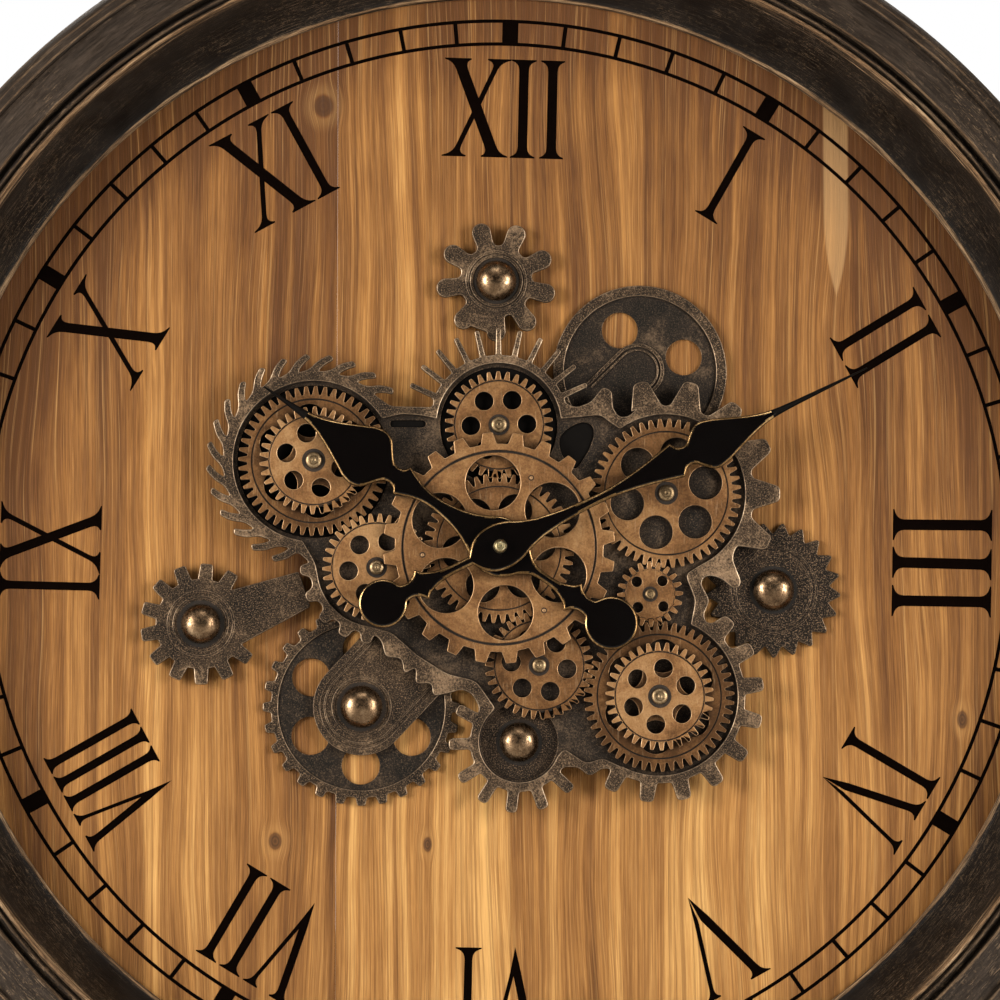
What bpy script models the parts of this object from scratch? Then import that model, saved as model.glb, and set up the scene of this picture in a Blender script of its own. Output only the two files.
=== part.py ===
"""Round wall clock with an open train of turning gears in front of a planked dial.

Every length is in millimetres and is scaled to metres where the geometry is made. The parts are drawn
as seen from the front: x to the right, y up towards twelve o'clock, and h, the height towards the viewer,
from the dial's face. The parent empty turns that view upright, so that the clock faces -Y with +Z up.
"""

import bmesh
import bpy
from math import asin, cos, degrees, pi, radians, sin
from mathutils import Matrix, Vector

MM = 0.001

# Driving dimensions of the case
DEPTH = 76.0
DIAL_TO_WALL = 36.0
OUTER_RADIUS = 305.0
LIP_RADIUS = 252.5
BOARD_RADIUS = 260.5
BOARD_THICKNESS = 9.3
GAP = 0.3

# Levels of the plates and gears, from the dial's face
SATELLITE_LOW = (0.5, 2.7)
SATELLITE_HIGH = (3.1, 5.5)
BACK_PLATE = (6.0, 8.0)
CARRIER = (8.3, 10.8)
REAR_GEARS = (9.0, 11.6)
STACKED_GEARS = (12.0, 14.4)
FRONT_GEAR = (12.2, 15.2)
GEAR_COLLAR = (15.5, 16.7)
HOUR_HAND = (18.0, 19.6)
MINUTE_HAND = (21.5, 23.1)
CAP_TOP = 28.0

# The gear train: one module throughout, so every pair meshes at half the sum of its teeth
MODULE = 1.35
LARGE_TEETH = 48
MIDDLE_TEETH = 34
SMALL_TEETH = 20
TOOTH_ADDENDUM = 0.9
TOOTH_DEDENDUM = 2.0
TOOTH_LAND = 0.2
FINE_ADDENDUM = 0.8
FINE_DEDENDUM = 1.6
BORE_RADIUS = 2.5
POST_RADIUS = 2.2
PIN_HEAD_RADIUS = 3.2
CENTRE_PHASE = 153.2

# The tubes on the clock's axis
BUSHING_RADIUS = 4.0
BUSHING_BORE = 2.9
COLLAR_RADIUS = 6.8
HOUR_PIPE_RADIUS = 2.5
HOUR_PIPE_BORE = 1.7
ARBOR_RADIUS = 1.3

# Hands at ten past ten, as angles anticlockwise from three o'clock
MINUTE_ANGLE = 26.1
HOUR_ANGLE = 145.8

# The boxes behind the dial, as depths behind its face
BOARD_BACK = -BOARD_THICKNESS
CASE_FRONT = BOARD_BACK - GAP
WALL = 1.5
CASE_WALL_INSIDE = CASE_FRONT - WALL
CASE_BACK = -27.0
MOTOR_CASE_BACK = -28.0
CUT_THROUGH = 3.0
CELL_RADIUS = 7.0

# The motion work behind the dial
MOTION_CENTRES = 12.0
MOTION_ANGLE = 60.0
CANNON_TEETH = 12
MOTION_TEETH = 36
MOTION_PINION_TEETH = 10
HOUR_TEETH = 40
CANNON_LEVELS = (-20.5, -18.6)
HOUR_WHEEL_LEVELS = (-16.4, -14.8)

# The gear motor behind the dial
DRIVE_MODULE = 0.8
DRIVE_TEETH = 40
MOTOR_PINION_TEETH = 10
DRIVE_LEVELS = (-20.5, -17.8)

# Centres of the dark wheels on the board
TOP_WHEEL_AT = (-1.0, 121.0)
UPPER_RIGHT_AT = (64.0, 79.5)
RIGHT_WHEEL_AT = (123.8, -18.0)
LOWER_LEFT_WHEEL_AT = (-61.2, -70.7)
LEFT_WHEEL_AT = (-133.0, -33.8)
BOTTOM = (9.2, -86.4)


def clear_scene():
    for obj in list(bpy.data.objects):
        bpy.data.objects.remove(obj, do_unlink=True)


def make_collection(name):
    collection = bpy.data.collections.new(name)
    bpy.context.scene.collection.children.link(collection)
    return collection


def material(name, colour, metallic, roughness):
    made = bpy.data.materials.get(name)
    if made:
        return made
    made = bpy.data.materials.new(name)
    made.use_nodes = True
    shader = made.node_tree.nodes["Principled BSDF"]
    shader.inputs["Base Color"].default_value = (*colour, 1.0)
    shader.inputs["Metallic"].default_value = metallic
    shader.inputs["Roughness"].default_value = roughness
    return made


clear_scene()
PARTS = make_collection("skeleton_clock")
CUTTERS = make_collection("cutters")

FACE = bpy.data.objects.new("clock_face", None)
FACE.location = (0.0, (DEPTH / 2 - DIAL_TO_WALL) * MM, 0.0)
FACE.rotation_euler = (pi / 2, 0.0, 0.0)
PARTS.objects.link(FACE)

BRASS = ("antique_brass", (0.62, 0.42, 0.22), 1.0, 0.36)
BRONZE = ("dark_bronze", (0.13, 0.10, 0.07), 0.9, 0.5)
DOME_BRASS = ("dome_brass", (0.55, 0.42, 0.25), 1.0, 0.25)
BLACK_PLATE = ("black_plate", (0.02, 0.02, 0.025), 0.6, 0.5)
FRAME_PAINT = ("distressed_black", (0.05, 0.035, 0.03), 0.0, 0.5)
PINE = ("pine", (0.45, 0.25, 0.10), 0.0, 0.5)
GLOSS_BLACK = ("gloss_black", (0.01, 0.01, 0.01), 0.3, 0.2)
STEEL = ("steel", (0.6, 0.6, 0.6), 1.0, 0.35)
BLACK_PLASTIC = ("black_plastic", (0.03, 0.03, 0.03), 0.0, 0.45)
WHITE_PLASTIC = ("white_nylon", (0.8, 0.79, 0.74), 0.0, 0.4)
CELL_WRAP = ("cell_wrap", (0.1, 0.25, 0.5), 0.3, 0.3)
CIRCUIT_GREEN = ("circuit_green", (0.03, 0.2, 0.08), 0.0, 0.4)
COPPER = ("copper_wire", (0.75, 0.35, 0.18), 1.0, 0.4)


# ---- points ------------------------------------------------------------------------------------------


def polar(radius, angle, centre=(0.0, 0.0)):
    return (centre[0] + radius * cos(radians(angle)), centre[1] + radius * sin(radians(angle)))


def arc(centre, radius, start, end, count):
    """count points from one angle to the other, both ends included."""
    step = (end - start) / (count - 1)
    return [polar(radius, start + step * index, centre) for index in range(count)]


def circle(radius, count, centre=(0.0, 0.0)):
    return [polar(radius, 360.0 * index / count, centre) for index in range(count)]


def hole_ring(count, radius, hole_radius, phase, points=8):
    centres = [polar(radius, phase + 360.0 * index / count) for index in range(count)]
    return [circle(hole_radius, points, centre) for centre in centres]


def spur_outline(teeth, module, phase):
    """Pointed teeth with a small land, and V-shaped gaps with room at the bottom."""
    pitch = 360.0 / teeth
    tip = module * (teeth / 2 + TOOTH_ADDENDUM)
    root = module * (teeth / 2 - TOOTH_DEDENDUM)
    points = []
    for index in range(teeth):
        angle = phase + pitch * index
        points.append(polar(tip, angle - TOOTH_LAND * pitch / 2))
        points.append(polar(tip, angle + TOOTH_LAND * pitch / 2))
        points.append(polar(root, angle + pitch / 2))
    return points


def fine_outline(teeth, module, phase):
    """The sharp little teeth of the moulded gears behind the dial."""
    tip = module * (teeth / 2 + FINE_ADDENDUM)
    root = module * (teeth / 2 - FINE_DEDENDUM)
    points = []
    for index in range(2 * teeth):
        points.append(polar(root if index % 2 else tip, phase + 180.0 * index / teeth))
    return points


def block_tooth(centre, angle, root, tip, root_width, tip_width):
    """The four corners of a straight-sided tooth, from its clockwise side to its anticlockwise side."""
    along = Vector((cos(radians(angle)), sin(radians(angle))))
    across = Vector((-along.y, along.x))
    middle = Vector(centre)
    foot = (root**2 - (root_width / 2) ** 2) ** 0.5
    corners = (
        middle + along * foot - across * root_width / 2,
        middle + along * tip - across * tip_width / 2,
        middle + along * tip + across * tip_width / 2,
        middle + along * foot + across * root_width / 2,
    )
    return [tuple(corner) for corner in corners]


def block_gear_outline(angles, root, tip, root_width, tip_width):
    points = []
    for angle in angles:
        points += block_tooth((0.0, 0.0), angle, root, tip, root_width, tip_width)
    return points


def mesh_phase(phase, teeth, direction, next_teeth):
    """Where the next gear's teeth stand, so that a gap of it faces each tooth of the first gear."""
    offset = ((direction - phase) * teeth / 360.0) % 1.0
    return direction + 180.0 + (offset + 0.5) * 360.0 / next_teeth


def centre_distance(teeth, next_teeth):
    return MODULE * (teeth + next_teeth) / 2


def offset_outline(points, distance):
    """A closed anticlockwise outline moved outwards by the distance."""
    moved = []
    count = len(points)
    for index, point in enumerate(points):
        before = Vector(points[index - 1])
        after = Vector(points[(index + 1) % count])
        along = (after - before).normalized()
        moved.append((point[0] + along.y * distance, point[1] - along.x * distance))
    return moved


# ---- solids ------------------------------------------------------------------------------------------


def place(obj, finish, at, low=0.0, helper=False):
    obj.parent = FACE
    obj.location = (at[0] * MM, at[1] * MM, low * MM)
    if helper:
        obj.hide_render = True
        obj.display_type = "WIRE"
        CUTTERS.objects.link(obj)
    else:
        obj.data.materials.append(material(*finish))
        PARTS.objects.link(obj)
    return obj


def plate(name, outline, holes, levels, finish=BRASS, at=(0.0, 0.0), angle=0.0, helper=False):
    """A flat sheet of the outline, with its origin at 'at', between two levels."""
    low, high = levels
    curve = bpy.data.curves.new(name, "CURVE")
    curve.dimensions = "2D"
    curve.fill_mode = "BOTH"
    curve.extrude = (high - low) / 2 * MM
    for loop in [outline, *holes]:
        spline = curve.splines.new("POLY")
        spline.points.add(len(loop) - 1)
        for point, (x, y) in zip(spline.points, loop):
            point.co = (x * MM, y * MM, 0.0, 1.0)
        spline.use_cyclic_u = True
    obj = place(bpy.data.objects.new(name, curve), finish, at, (low + high) / 2, helper)
    obj.rotation_euler = (0.0, 0.0, radians(angle))
    return obj


def as_mesh(obj):
    """The object's evaluated shape as one welded mesh, so that a Boolean can use it."""
    bpy.context.view_layer.update()
    graph = bpy.context.evaluated_depsgraph_get()
    mesh = bpy.data.meshes.new_from_object(obj.evaluated_get(graph))
    welder = bmesh.new()
    welder.from_mesh(mesh)
    bmesh.ops.remove_doubles(welder, verts=welder.verts, dist=0.000001)
    bmesh.ops.recalc_face_normals(welder, faces=welder.faces)
    welder.to_mesh(mesh)
    welder.free()
    made = bpy.data.objects.new(obj.name + "_solid", mesh)
    made.parent = obj.parent
    made.location = obj.location
    made.rotation_euler = obj.rotation_euler
    made.hide_render = obj.hide_render
    made.display_type = obj.display_type
    for collection in obj.users_collection:
        collection.objects.link(made)
    name = obj.name
    bpy.data.objects.remove(obj, do_unlink=True)
    made.name = name
    return made


def turned(name, profile, finish=BRASS, at=(0.0, 0.0), segments=20, ring=False, helper=False):
    """A turned solid: (radius, height) points down the outer side, and for a ring back up the inside."""
    mesh = bpy.data.meshes.new(name)
    edges = [(index, index + 1) for index in range(len(profile) - 1)]
    if ring:
        edges.append((len(profile) - 1, 0))
    mesh.from_pydata([(radius * MM, 0.0, height * MM) for radius, height in profile], edges, [])
    obj = place(bpy.data.objects.new(name, mesh), finish, at, 0.0, helper)
    screw = obj.modifiers.new("turn", "SCREW")
    screw.steps = segments
    screw.render_steps = segments
    screw.use_merge_vertices = True
    screw.merge_threshold = 0.00001
    made = as_mesh(obj)
    made.data.shade_smooth()
    made.data.set_sharp_from_angle(angle=radians(35))
    return made


def rod(name, radius, low, high, finish=STEEL, at=(0.0, 0.0), segments=16, helper=False):
    profile = [(0.0, high), (radius, high), (radius, low), (0.0, low)]
    return turned(name, profile, finish, at, segments, helper=helper)


def tube(name, outer, inner, low, high, finish=STEEL, at=(0.0, 0.0), segments=20, helper=False):
    profile = [(outer, high), (outer, low), (inner, low), (inner, high)]
    return turned(name, profile, finish, at, segments, ring=True, helper=helper)


def box(name, xs, ys, hs, finish=BLACK_PLASTIC, bevel=0.0, helper=False):
    mesh = bpy.data.meshes.new(name)
    shape = bmesh.new()
    size = Vector((xs[1] - xs[0], ys[1] - ys[0], hs[1] - hs[0])) * MM
    bmesh.ops.create_cube(shape, size=1.0, matrix=Matrix.Diagonal((*size, 1.0)))
    shape.to_mesh(mesh)
    shape.free()
    centre = ((xs[0] + xs[1]) / 2, (ys[0] + ys[1]) / 2)
    obj = place(bpy.data.objects.new(name, mesh), finish, centre, (hs[0] + hs[1]) / 2, helper)
    if bevel:
        edge = obj.modifiers.new("rounding", "BEVEL")
        edge.width = bevel * MM
        edge.segments = 1
    return obj


def combine(obj, other, operation):
    step = obj.modifiers.new(operation.lower(), "BOOLEAN")
    step.operation = operation
    step.object = other
    return obj


def cut(obj, *cutters):
    for cutter in cutters:
        combine(obj, cutter, "DIFFERENCE")
    return obj


def join(obj, *others):
    for other in others:
        combine(obj, other, "UNION")
    return obj


# ---- gear train --------------------------------------------------------------------------------------

CENTRE = (0.0, 0.0)
TOP = polar(centre_distance(LARGE_TEETH, MIDDLE_TEETH), 90.0)
LOWER_LEFT = polar(centre_distance(LARGE_TEETH, MIDDLE_TEETH), 189.1)
LEFT = polar(centre_distance(MIDDLE_TEETH, LARGE_TEETH), 120.6, LOWER_LEFT)
LOWER_CENTRE = polar(centre_distance(LARGE_TEETH, MIDDLE_TEETH), -71.1)
LOWER_RIGHT = polar(centre_distance(MIDDLE_TEETH, LARGE_TEETH), -14.4, LOWER_CENTRE)
SMALL = polar(centre_distance(LARGE_TEETH, SMALL_TEETH), 94.9, LOWER_RIGHT)
RIGHT = polar(centre_distance(SMALL_TEETH, LARGE_TEETH), 80.7, SMALL)
MOTION_AXIS = polar(MOTION_CENTRES, MOTION_ANGLE)
DRIVE_CENTRES = DRIVE_MODULE * (DRIVE_TEETH + MOTOR_PINION_TEETH) / 2
MOTOR_AXIS = (TOP[0] + DRIVE_CENTRES, TOP[1])

TOP_PHASE = mesh_phase(CENTRE_PHASE, LARGE_TEETH, 90.0, MIDDLE_TEETH)
LOWER_LEFT_PHASE = mesh_phase(CENTRE_PHASE, LARGE_TEETH, 189.1, MIDDLE_TEETH)
LEFT_PHASE = mesh_phase(LOWER_LEFT_PHASE, MIDDLE_TEETH, 120.6, LARGE_TEETH)
LOWER_CENTRE_PHASE = mesh_phase(CENTRE_PHASE, LARGE_TEETH, -71.1, MIDDLE_TEETH)
LOWER_RIGHT_PHASE = mesh_phase(LOWER_CENTRE_PHASE, MIDDLE_TEETH, -14.4, LARGE_TEETH)
SMALL_PHASE = mesh_phase(LOWER_RIGHT_PHASE, LARGE_TEETH, 94.9, SMALL_TEETH)
RIGHT_PHASE = mesh_phase(SMALL_PHASE, SMALL_TEETH, 80.7, LARGE_TEETH)


def train_gear(name, teeth, at, phase, hole_phase, levels=REAR_GEARS, bore=BORE_RADIUS):
    holes = {
        LARGE_TEETH: (6, 18.2, 7.5),
        MIDDLE_TEETH: (6, 12.6, 4.2),
        SMALL_TEETH: (4, 8.1, 2.3),
    }
    count, ring_radius, hole_radius = holes[teeth]
    rings = [circle(bore, 12), *hole_ring(count, ring_radius, hole_radius, hole_phase)]
    return plate(name, spur_outline(teeth, MODULE, phase), rings, levels, BRASS, at)


def centre_front_gear():
    angles = [5.8 + 15.0 * index for index in range(24)]
    outline = block_gear_outline(angles, root=46.6, tip=51.75, root_width=7.1, tip_width=4.5)
    holes = [circle(BUSHING_RADIUS + GAP, 16), *hole_ring(6, 29.2, 12.3, 35.5, points=14)]
    return plate("centre_front_gear", outline, holes, FRONT_GEAR, BRASS)


def gear_post(name, at, gear_top, head_radius=PIN_HEAD_RADIUS):
    """A riveted post: a foot on the plate, a plain bearing through the gear and a domed head over it."""
    head_low = gear_top + GAP
    profile = [
        (0.0, head_low + 1.6),
        (head_radius, head_low + 1.1),
        (head_radius, head_low),
        (POST_RADIUS, head_low),
        (POST_RADIUS, REAR_GEARS[0] - GAP),
        (4.2, REAR_GEARS[0] - GAP),
        (4.2, BACK_PLATE[1] + GAP),
        (0.0, BACK_PLATE[1] + GAP),
    ]
    return turned(name, profile, DOME_BRASS, at, 12)


def gear_train():
    train_gear("centre_rear_gear", LARGE_TEETH, CENTRE, CENTRE_PHASE, 66.5, bore=BUSHING_RADIUS + GAP)
    centre_front_gear()
    train_gear("top_gear", MIDDLE_TEETH, TOP, TOP_PHASE, 2.0)
    train_gear("lower_left_gear", MIDDLE_TEETH, LOWER_LEFT, LOWER_LEFT_PHASE, 67.0)
    train_gear("left_rear_gear", LARGE_TEETH, LEFT, LEFT_PHASE, 36.0)
    train_gear("left_front_gear", MIDDLE_TEETH, LEFT, 57.2, 45.0, STACKED_GEARS)
    train_gear("lower_centre_gear", MIDDLE_TEETH, LOWER_CENTRE, LOWER_CENTRE_PHASE, 53.0)
    train_gear("lower_right_rear_gear", LARGE_TEETH, LOWER_RIGHT, LOWER_RIGHT_PHASE, 25.0)
    train_gear("lower_right_front_gear", MIDDLE_TEETH, LOWER_RIGHT, 7.4, 22.0, STACKED_GEARS)
    train_gear("small_gear", SMALL_TEETH, SMALL, SMALL_PHASE, 47.0)
    train_gear("right_gear", LARGE_TEETH, RIGHT, RIGHT_PHASE, 15.0)
    gear_post("left_post", LEFT, STACKED_GEARS[1], 3.6)
    gear_post("lower_left_post", LOWER_LEFT, REAR_GEARS[1])
    gear_post("lower_centre_post", LOWER_CENTRE, REAR_GEARS[1])
    gear_post("lower_right_post", LOWER_RIGHT, STACKED_GEARS[1], 3.6)
    gear_post("small_post", SMALL, REAR_GEARS[1])
    gear_post("right_post", RIGHT, REAR_GEARS[1], 3.6)


# ---- plates ------------------------------------------------------------------------------------------


def carrier_inner_edge():
    """The smooth inner edge of the carrier, anticlockwise from the foot of the right-hand ring."""
    edge = []
    edge += arc(RIGHT, 35.5, -64.0, 125.7, 20)
    edge += [(50.0, 56.6), (45.5, 60.0), (41.0, 59.6)]
    edge += arc(TOP, 27.9, 6.0, 174.4, 16)
    edge += [(-35.0, 59.6), (-44.0, 60.2)]
    edge += arc(LEFT, 36.0, 32.0, 262.0, 22)
    edge += [(-82.0, -6.5)]
    edge += arc(LOWER_LEFT, 26.4, 190.0, 262.0, 8)
    edge += [(-48.0, -37.6), (-36.6, -47.7), (-23.0, -56.2), (-10.2, -59.2), (-1.6, -71.4)]
    edge += arc(BOTTOM, 18.0, 135.0, 338.0, 18)
    edge += [(29.0, -89.3), (39.2, -96.1), (46.2, -93.4), (54.0, -97.2)]
    edge += arc(LOWER_RIGHT, 35.2, -117.0, 66.0, 18)
    edge += [(88.0, -23.0), (83.4, -11.4)]
    return edge


def toothed_arc(centre, angles, root, tip, root_width, tip_width):
    points = []
    for angle in angles:
        points += block_tooth(centre, angle, root, tip, root_width, tip_width)
    return points


def blade_points(centre, tip_angle):
    """A blade swept clockwise at forty-five degrees, from its clockwise foot to its anticlockwise one."""
    return [
        polar(40.3, tip_angle + 7.2, centre),
        polar(44.2, tip_angle + 3.4, centre),
        polar(47.4, tip_angle - 1.3, centre),
        polar(48.2, tip_angle + 1.0, centre),
        polar(40.9, tip_angle + 11.0, centre),
    ]


def carrier_outer_edge():
    """The outer edge, anticlockwise from the hooked link between the two right-hand rings."""
    edge = []
    # lower right ring, with broad blunt teeth
    edge += toothed_arc(LOWER_RIGHT, (242, 263, 284, 304.5, 325, 346, 367, 387.5), 38.7, 47.2, 7.6, 6.2)
    edge += block_tooth(LOWER_RIGHT, 407, 38.7, 47.2, 7.6, 6.2)[:3]
    # the hooked link up to the right-hand ring
    edge += [(95.5, -33.3), (92.8, -32.9), (91.7, -29.7), (94.4, -23.0), (90.6, -15.9), (91.5, -13.0)]
    edge += [(94.6, -11.9), (99.5, -13.2), (104.9, -17.7), (107.6, -17.2), (108.5, -14.5), (104.9, -5.1)]
    edge += [(105.3, -1.6)]
    # right-hand ring, with tall tapered teeth
    edge += toothed_arc(RIGHT, (-26, 0, 25.5, 51, 77, 103), 39.6, 51.3, 14.2, 6.4)
    # the forked link over to the top ring
    edge += [(61.5, 62.5), (58.0, 59.4), (54.0, 59.2), (51.2, 63.0), (50.8, 71.0), (46.6, 72.8), (41.5, 66.0)]
    edge += [(35.0, 63.4), (30.5, 65.0)]
    # top ring, with thin straight spikes
    edge += toothed_arc(TOP, [25.0 + 13.06 * index for index in range(11)], 31.6, 43.6, 1.9, 1.5)
    edge += [(-29.7, 63.3), (-48.5, 63.7)]
    # left-hand ring, with swept blades
    for index in range(17):
        edge += blade_points(LEFT, 43.1 + 12.86 * index)
    # lower left ring, with short square teeth
    edge += toothed_arc(LOWER_LEFT, (182, 203.5, 224, 243.5, 262), 29.8, 34.2, 6.2, 4.6)
    # saw-toothed band down to the bottom ring
    edge += [(-52.4, -41.5), (-50.6, -48.6), (-43.4, -49.2), (-42.3, -56.2), (-37.0, -53.2), (-37.2, -60.6)]
    edge += [(-30.0, -60.2), (-29.4, -66.0), (-22.8, -64.8), (-16.4, -63.0), (-12.0, -65.0), (-9.0, -70.4)]
    # bottom ring, with long square teeth
    edge += toothed_arc(BOTTOM, (152, 182, 212, 237, 263, 290, 317), 22.2, 31.6, 5.2, 5.2)
    edge += [(29.2, -97.6), (35.2, -97.6), (40.6, -101.8), (46.0, -98.2)]
    return edge


def train_plates():
    inner = carrier_inner_edge()
    plate("carrier_plate", carrier_outer_edge(), [inner], CARRIER, BRONZE)
    backing = offset_outline(inner, 1.6)
    windows = [
        circle(BUSHING_RADIUS + GAP, 12),
        circle(POST_RADIUS + 0.6, 10, TOP),
        circle(17.2, 20, BOTTOM),
        [(28.4, 56.4), (30.2, 44.0), (34.2, 35.1), (38.2, 38.7), (42.7, 44.0), (43.2, 49.6), (40.0, 55.0)],
        [(-48.4, 54.4), (-33.4, 54.4), (-32.4, 56.0), (-33.4, 57.6), (-48.4, 57.6)],
    ]
    plate("back_plate", backing, windows, BACK_PLATE, BLACK_PLATE)
    for index, angle in enumerate((135.0, 15.0, 255.0)):
        tube(f"plate_pillar_{index + 1}", 3.2, 1.2, GAP, BACK_PLATE[0] - GAP, STEEL, polar(33.0, angle), 10)


# ---- dark wheels on the board ------------------------------------------------------------------------


def dome(name, at, low, radius=9.1, height=6.6):
    rim = low + 0.6
    crown = [(radius * cos(radians(angle)), rim + height * sin(radians(angle))) for angle in (68, 46, 23, 0)]
    profile = [(0.0, rim + height), *crown, (radius, low), (0.0, low)]
    return turned(name, profile, DOME_BRASS, at, 18)


def top_knob_wheel(at):
    """Nine round-ended knobs round a plain hub."""
    outline = []
    for angle in (67.0, 107.0, 148.0, 188.0, 230.0, 270.0, 307.0, 346.5, 385.5):
        outline.append(polar(16.7, angle - 13.0))
        outline += arc(polar(22.9, angle), 4.05, angle - 90.0, angle + 90.0, 6)
        outline.append(polar(16.7, angle + 13.0))
    plate("top_knob_wheel", outline, [circle(2.0, 8)], SATELLITE_HIGH, BRONZE, at)
    dome("top_dome", at, SATELLITE_HIGH[1] + GAP)


def left_arm_wheel(at):
    """A blunt-toothed wheel with a flat arm reaching right, under the lower left ring."""
    outline = block_gear_outline([58.0 + 26.6 * index for index in range(11)], 20.2, 27.0, 6.6, 5.6)
    reach = polar(49.0, 18.7)
    side = polar(8.3, 108.7)
    outline += [(reach[0] - side[0], reach[1] - side[1]), (reach[0] + side[0], reach[1] + side[1])]
    plate("left_arm_wheel", outline, [circle(2.0, 8)], SATELLITE_HIGH, BRONZE, at)
    dome("left_dome", at, SATELLITE_HIGH[1] + GAP, 8.8)


def lower_left_wheel(at):
    """A six-holed wheel with small teeth, and a rounded strap over it that runs up under the carrier."""
    outline = block_gear_outline([12.86 * index for index in range(28)], 40.5, 44.1, 5.2, 3.6)
    holes = [circle(2.0, 8), *hole_ring(6, 26.1, 8.5, 29.5)]
    plate("lower_left_wheel", outline, holes, SATELLITE_LOW, BRONZE, at)
    strap = [*arc((0.0, 0.0), 21.6, 137.0, 317.0, 14)]
    strap += [(strap[-1][0] + 22.0, strap[-1][1] + 23.6), (strap[0][0] + 22.0, strap[0][1] + 23.6)]
    plate("lower_left_strap", strap, [circle(2.0, 8)], SATELLITE_HIGH, BRONZE, at)
    dome("lower_left_dome", at, SATELLITE_HIGH[1] + GAP, 9.4)


def right_saw_wheel(at):
    """Twenty-one teeth raked clockwise."""
    pitch = 360.0 / 21
    outline = []
    for index in range(21):
        angle = 80.6 + pitch * index
        outline += [polar(30.4, angle), polar(30.2, angle + 2.4), polar(25.4, angle + 9.6)]
    plate("right_saw_wheel", outline, [circle(2.0, 8)], SATELLITE_LOW, BRONZE, at)
    dome("right_dome", at, SATELLITE_LOW[1] + GAP, 9.3)


def upper_right_wheel(at):
    holes = [circle(8.1, 12, polar(20.4, angle)) for angle in (116.0, 17.0)]
    plate("upper_right_wheel", circle(39.2, 40), holes, SATELLITE_LOW, BRONZE, at)


def bottom_disc(at):
    outline = arc((0.0, 0.0), 20.8, 14.0, 352.0, 28)
    outline += [(43.0, -6.0), (43.0, -2.0), (28.0, 1.5)]
    plate("bottom_disc", outline, [circle(2.0, 8)], SATELLITE_HIGH, BRONZE, at)
    dome("bottom_dome", at, SATELLITE_HIGH[1] + GAP, 8.8)


def board_wheels():
    top_knob_wheel(TOP_WHEEL_AT)
    upper_right_wheel(UPPER_RIGHT_AT)
    right_saw_wheel(RIGHT_WHEEL_AT)
    bottom_disc(BOTTOM)
    lower_left_wheel(LOWER_LEFT_WHEEL_AT)
    left_arm_wheel(LEFT_WHEEL_AT)


# ---- hands -------------------------------------------------------------------------------------------


def hand_outline(edge, tail_radius, tail_reach, tail_neck):
    """Half widths along the hand give both edges, and a round bulb ends the tail."""
    upper = [(reach, half) for reach, half in edge]
    bulb_start = degrees(asin(tail_neck / tail_radius))
    bulb = arc((-tail_reach, 0.0), tail_radius, bulb_start, 360.0 - bulb_start, 14)
    lower = [(reach, -half) for reach, half in reversed(edge)]
    return upper[::-1] + bulb + lower[::-1]


def hands():
    minute = [(10.0, 9.2), (15.0, 5.0), (24.0, 3.2), (60.0, 4.6), (88.0, 6.8), (92.0, 4.4), (95.0, 6.4)]
    minute += [(102.0, 9.8), (110.0, 10.8), (118.0, 9.0), (128.0, 4.2), (138.0, 1.7), (183.0, 0.4)]
    minute = [(-48.0, 3.6), (-24.0, 3.0), (-14.0, 4.4), (-7.0, 8.6), (0.0, 10.2), *minute[1:]]
    outline = hand_outline(minute, 10.8, 58.5, 3.6)
    bore = circle(ARBOR_RADIUS + GAP, 10)
    plate("minute_hand", outline, [bore], MINUTE_HAND, GLOSS_BLACK, angle=MINUTE_ANGLE)
    hour = [(-50.0, 4.6), (-30.0, 3.8), (-17.0, 6.0), (-9.0, 11.0), (0.0, 13.2), (9.0, 11.0), (17.0, 6.0)]
    hour += [(30.0, 4.4), (50.0, 7.0), (54.0, 4.6), (57.0, 7.6), (63.0, 12.6), (69.0, 14.0), (76.0, 12.0)]
    hour += [(86.0, 5.4), (96.0, 2.2), (127.0, 0.4)]
    outline = hand_outline(hour, 12.3, 61.5, 4.6)
    bore = circle(HOUR_PIPE_RADIUS + GAP, 14)
    plate("hour_hand", outline, [bore], HOUR_HAND, GLOSS_BLACK, angle=HOUR_ANGLE)
    low = MINUTE_HAND[1] + GAP
    nut = [(0.0, CAP_TOP), (1.6, CAP_TOP - 0.4), (2.6, CAP_TOP - 1.6)]
    nut += [(3.1, low + 1.2), (3.1, low), (0.0, low)]
    turned("hand_cap_nut", nut, DOME_BRASS)


# ---- clock movement ----------------------------------------------------------------------------------

def motion_outline(teeth, other, phase):
    """A motion-work gear, whose module follows from the centre distance and both gears' teeth."""
    return fine_outline(teeth, 2 * MOTION_CENTRES / (teeth + other), phase)


def movement_case():
    """A moulded box with a bay for the works and one for the cell, open at the back."""
    back = CASE_BACK - CUT_THROUGH
    case = box("movement_case", (-28.0, 28.0), (-29.0, 27.0), (CASE_BACK, CASE_FRONT), bevel=1.2)
    cell_bay = box("cell_bay_cutter", (-26.0, 26.0), (-27.2, -12.0), (back, CASE_WALL_INSIDE), helper=True)
    works = box("works_cutter", (-26.0, 26.0), (-10.7, 25.0), (back, CASE_WALL_INSIDE), helper=True)
    reach = (CASE_WALL_INSIDE - CUT_THROUGH, CASE_FRONT + CUT_THROUGH)
    hub = rod("hub_cutter", BUSHING_RADIUS + GAP, *reach, helper=True)
    cut(case, cell_bay, works, hub)
    rear = box("movement_back", (-25.7, 25.7), (-10.4, 24.7), (CASE_BACK, CASE_BACK + WALL))
    shaft_hole = rod("knob_hole_cutter", 1.8, back, CASE_BACK + CUT_THROUGH, at=MOTION_AXIS, helper=True)
    cut(rear, shaft_hole)


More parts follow.
